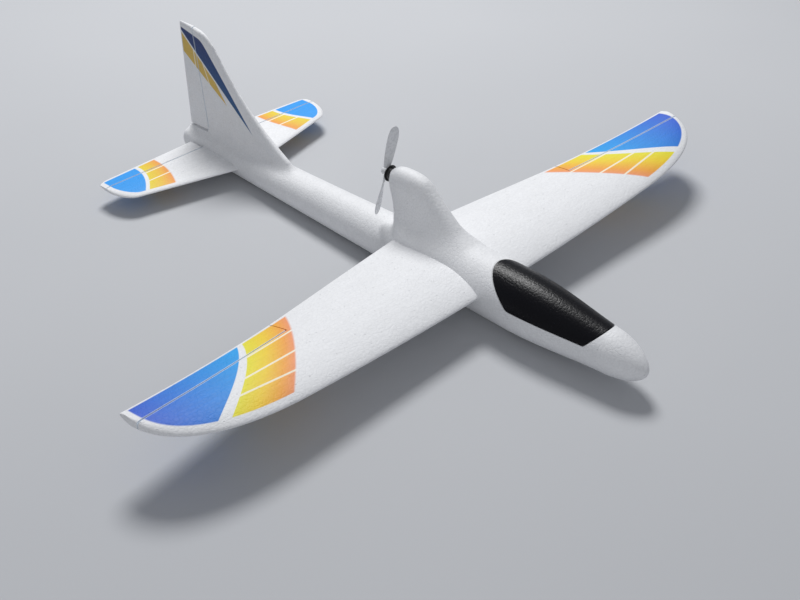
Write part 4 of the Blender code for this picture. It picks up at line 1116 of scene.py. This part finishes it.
def make_propeller():
    half = HUB_LENGTH / 2
    nose = []
    for i in range(9):
        y = half * (0.52 + 0.48 * sin(pi / 2 * i / 8))
        nose.append((y, HUB_RADIUS * (1 - 0.62 * (i / 8) ** 2.2)))
    ring = [(-half, 0.80 * HUB_RADIUS), (-0.90 * half, 0.94 * HUB_RADIUS), (-0.76 * half, HUB_RADIUS)]
    made = new_object("propeller_blades", turned(ring + nose, PROPELLER_CENTRE, 56))
    boolean(made, "UNION", *(blade(pi * i - PROPELLER_REST_ANGLE) for i in range(2)))
    low, high = datum_box("motor_shaft")
    room = (high.x - low.x) / 2 + 0.0001
    bore = [(-2 * half, room), (0.8 * half + CLEARANCE, room)]
    boolean(made, "DIFFERENCE", turned(bore, PROPELLER_CENTRE, 32))
    piece(made, PROPELLER_LOOK, "propeller", "propeller_grey", "propeller")
    shaft_radius = (high.x - low.x) / 2
    edge = 0.25 * shaft_radius
    shaft = turned(
        [(low.y, shaft_radius - edge), (low.y + edge, shaft_radius), (high.y - edge, shaft_radius),
         (high.y, shaft_radius - edge)], MOTOR_CENTRE, 24)
    piece(new_object("propeller_shaft", shaft), STEEL_LOOK, "propeller", "steel", "motor_shaft")


def make_motor():
    low, high = datum_box("motor_can")
    shaft_low, shaft_high = datum_box("motor_shaft")
    rim = 0.0003
    boss = 0.4 * MOTOR_RADIUS
    rings = [
        (low.y, MOTOR_RADIUS), (low.y + 0.0016, MOTOR_RADIUS), (low.y + 0.0019, MOTOR_RADIUS - 0.00018),
        (low.y + 0.0022, MOTOR_RADIUS), (MOTOR_REAR - rim, MOTOR_RADIUS),
        (MOTOR_REAR - 0.3 * rim, MOTOR_RADIUS - 0.3 * rim), (MOTOR_REAR, MOTOR_RADIUS - rim),
        (MOTOR_REAR, boss), (high.y, boss - 0.0001),
    ]
    can = new_object("motor_housing", turned(rings, MOTOR_CENTRE, 64))
    room = (shaft_high.x - shaft_low.x) / 2 + 0.0001
    bore = [(shaft_low.y - CLEARANCE, room), (PROPELLER_PLANE, room)]
    boolean(can, "DIFFERENCE", turned(bore, MOTOR_CENTRE, 32))
    piece(can, STEEL_LOOK, "airframe", "steel", "motor_can")
    low, high = datum_box("motor_end_cap")
    cap = [
        (low.y, MOTOR_RADIUS - rim), (low.y + 0.3 * rim, MOTOR_RADIUS - 0.3 * rim),
        (low.y + rim, MOTOR_RADIUS), (high.y - 0.0001, MOTOR_RADIUS), (high.y, MOTOR_RADIUS - 0.0001),
    ]
    made = new_object("motor_cap", turned(cap, MOTOR_CENTRE, 64))
    piece(made, BLACK_LOOK, "airframe", "black_plastic", "motor_end_cap")
    low, high = datum_box("motor_sleeve")
    collar = (high.x - low.x) / 2
    thick = high.y - MOTOR_REAR - 0.0012
    step = MOTOR_REAR + 0.0012
    sleeve = [
        (low.y, SLEEVE_RADIUS), (step, SLEEVE_RADIUS), (step, collar - 0.0001), (step + 0.0001, collar),
        (step + 0.6 * thick, collar), (step + 0.9 * thick, collar - 0.0002), (high.y, collar - 0.0004),
    ]
    made = new_object("motor_collar", turned(sleeve, MOTOR_CENTRE, 64))
    bore = MOTOR_RADIUS + CLEARANCE
    boolean(made, "DIFFERENCE", turned([(MOTOR_FRONT_Y, bore), (PROPELLER_PLANE, bore)], MOTOR_CENTRE, 64))
    piece(made, BLACK_LOOK, "airframe", "black_plastic", "motor_sleeve")


# ---- Belly tray, board and battery ------------------------------------------------------------


def dome(radius, height, foot, steps=6, sides=28):
    """A low dome of solder on a foot point."""
    tilts = [pi / 2 * i / steps * 0.98 for i in range(steps + 1)]
    return loft([level_ring(foot, radius * cos(t), foot[2] + height * sin(t), sides) for t in tilts])


def block(corner, size, rounding, segments=2):
    return box(corner, Vector(corner) + Vector(size), rounding, segments)


def joined(name, shapes):
    """One object from several separate meshes in the datum."""
    whole = bmesh.new()
    for shape in shapes:
        mesh = bpy.data.meshes.new("part")
        shape.to_mesh(mesh)
        shape.free()
        whole.from_mesh(mesh)
        bpy.data.meshes.remove(mesh)
    return new_object(name, whole)


def make_electronics():
    low, high = datum_box("circuit_board")
    top, start = high.z, low.y
    gap = 0.00005
    chips = (
        block((-0.0040, start + 0.0120, top + gap), (0.0050, 0.0039, 0.0010), 0.00015),
        block((0.0012, start + 0.0195, top + gap), (0.0029, 0.0029, 0.0009), 0.00015),
    )
    piece(joined("board_chips", chips), CHIP_LOOK, "airframe", "black_plastic")
    places = ((-0.0036, 0.0185), (-0.0036, 0.0205), (0.0028, 0.0150), (0.0028, 0.0130), (-0.0010, 0.0265))
    size = (0.0016, 0.0008, 0.0008)
    capacitors = [block((x, start + y, top + gap), size, 0.00010) for x, y in places]
    piece(joined("board_capacitors", capacitors), CAPACITOR_LOOK, "airframe", "tape")
    solder = []
    for i in range(4):
        for x in (-0.00455, 0.00115):
            corner = (x, start + 0.0124 + 0.00095 * i, top + gap)
            solder.append(block(corner, (0.0004, 0.0004, 0.0002), 0.00005, 1))
    for x, y in ((0.0014, 0.0085), (-0.0014, 0.0085), (0.0042, 0.0065), (-0.0042, 0.0065)):
        solder.append(dome(0.0008, 0.0007, (x, start + y, top + gap)))
    piece(joined("board_solder", solder), SOLDER_LOOK, "airframe", "steel")
    low, high = datum_box("power_led")
    middle, radius = (low + high) / 2, (high.x - low.x) / 2
    body = []
    for i in range(8):
        tilt = pi / 2 * (1 - i / 7)
        body.append(level_ring(middle, radius * max(cos(tilt), 0.04), low.z + 0.0010 * (1 - sin(tilt)), 32))
    body.append([Vector((v.x, v.y, high.z)) for v in body[-1]])
    piece(new_object("power_light", loft(body)), LED_LOOK, "airframe", "led_red", "power_led")
    low, high = datum_box("charge_socket")
    pin = upright(0.0003, low.z + 0.0006, high.z - 0.0002, (low + high) / 2)
    piece(new_object("charge_pin", pin), STEEL_LOOK, "airframe", "steel")


def make_battery():
    low, high = datum_box("battery_cell")
    flange = 0.0022
    pouch = box(low, high - Vector((0.0, flange, 0.0)), 0.0018, 5)
    middle = (low.z + high.z) / 2
    seal = box(
        (low.x + 0.0006, high.y - flange - 0.0015, middle - 0.0003),
        (high.x - 0.0006, high.y, middle + 0.0003), 0.00015, 2)
    made = new_object("cell_pouch", pouch)
    boolean(made, "UNION", seal)
    piece(made, FOIL_LOOK, "airframe", "cell_silver", "battery_cell")


CARRIED_OVER = {
    "belly_tray": TRAY_LOOK, "circuit_board": BOARD_LOOK, "switch_body": STEEL_LOOK,
    "switch_knob": BLACK_LOOK, "charge_socket": BLACK_LOOK, "battery_tape": TAPE_LOOK,
    "motor_wire_red": WIRE_RED_LOOK, "motor_wire_black": WIRE_BLACK_LOOK,
    "battery_lead_red": WIRE_RED_LOOK, "battery_lead_black": WIRE_BLACK_LOOK,
}

make_fuselage()
make_canopy()
make_wing()
make_tailplane()
make_rudder()
make_creases()
make_propeller()
make_motor()
make_electronics()
make_battery()
for node, look in CARRIED_OVER.items():
    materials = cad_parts[node].data.materials
    materials.clear()
    materials.append(look)

# ---- Floor, light and camera ------------------------------------------------------------------


def floor():
    bm = bmesh.new()
    bmesh.ops.create_grid(bm, x_segments=1, y_segments=1, size=6.0)
    mesh = bpy.data.meshes.new("floor")
    bm.to_mesh(mesh)
    bm.free()
    made = bpy.data.objects.new("floor", mesh)
    made.location.z = -0.0002                # just under the tray, so that the two faces don't fight
    bpy.context.scene.collection.objects.link(made)
    graph = Graph("floor", 0.9)
    mesh.materials.append(graph.finish(graph.mix(graph.noise(0.3), (0.50, 0.51, 0.53), (0.54, 0.55, 0.57))))


def lamp(name, direction, distance, size, power):
    data = bpy.data.lights.new(name, "AREA")
    data.shape = "DISK"
    data.size = size
    data.energy = power
    made = bpy.data.objects.new(name, data)
    made.location = Vector(direction).normalized() * distance
    made.rotation_mode = "QUATERNION"
    made.rotation_quaternion = Vector(direction).to_track_quat("Z", "Y")
    bpy.context.scene.collection.objects.link(made)


def camera():
    data = bpy.data.cameras.new("camera")
    data.sensor_width = 36.0
    data.lens = 50.606
    data.clip_start, data.clip_end = 0.01, 20.0
    made = bpy.data.objects.new("camera", data)
    right = Vector((0.711737, -0.702384, -0.009327))
    down = Vector((-0.418993, -0.413841, -0.808196))
    forward = Vector((0.563804, 0.579131, -0.588839))
    turn = Matrix((right, -down, -forward)).transposed().to_4x4()
    made.matrix_world = Matrix.Translation(Vector((-0.4405, -0.4462, 0.4011)) + SHIFT) @ turn
    bpy.context.scene.collection.objects.link(made)
    bpy.context.scene.camera = made


floor()
lamp("key", (0.30, 0.42, 0.85), 1.6, 0.6, 20.5)
lamp("fill", (-0.7, -0.6, 0.5), 2.0, 1.6, 4.5)
world = bpy.data.worlds.new("world")
bpy.context.scene.world = world
world.use_nodes = True
world.node_tree.nodes["Background"].inputs[0].default_value = (0.75, 0.78, 0.84, 1.0)
world.node_tree.nodes["Background"].inputs[1].default_value = 0.36
camera()
bpy.context.scene.view_settings.view_transform = "Standard"
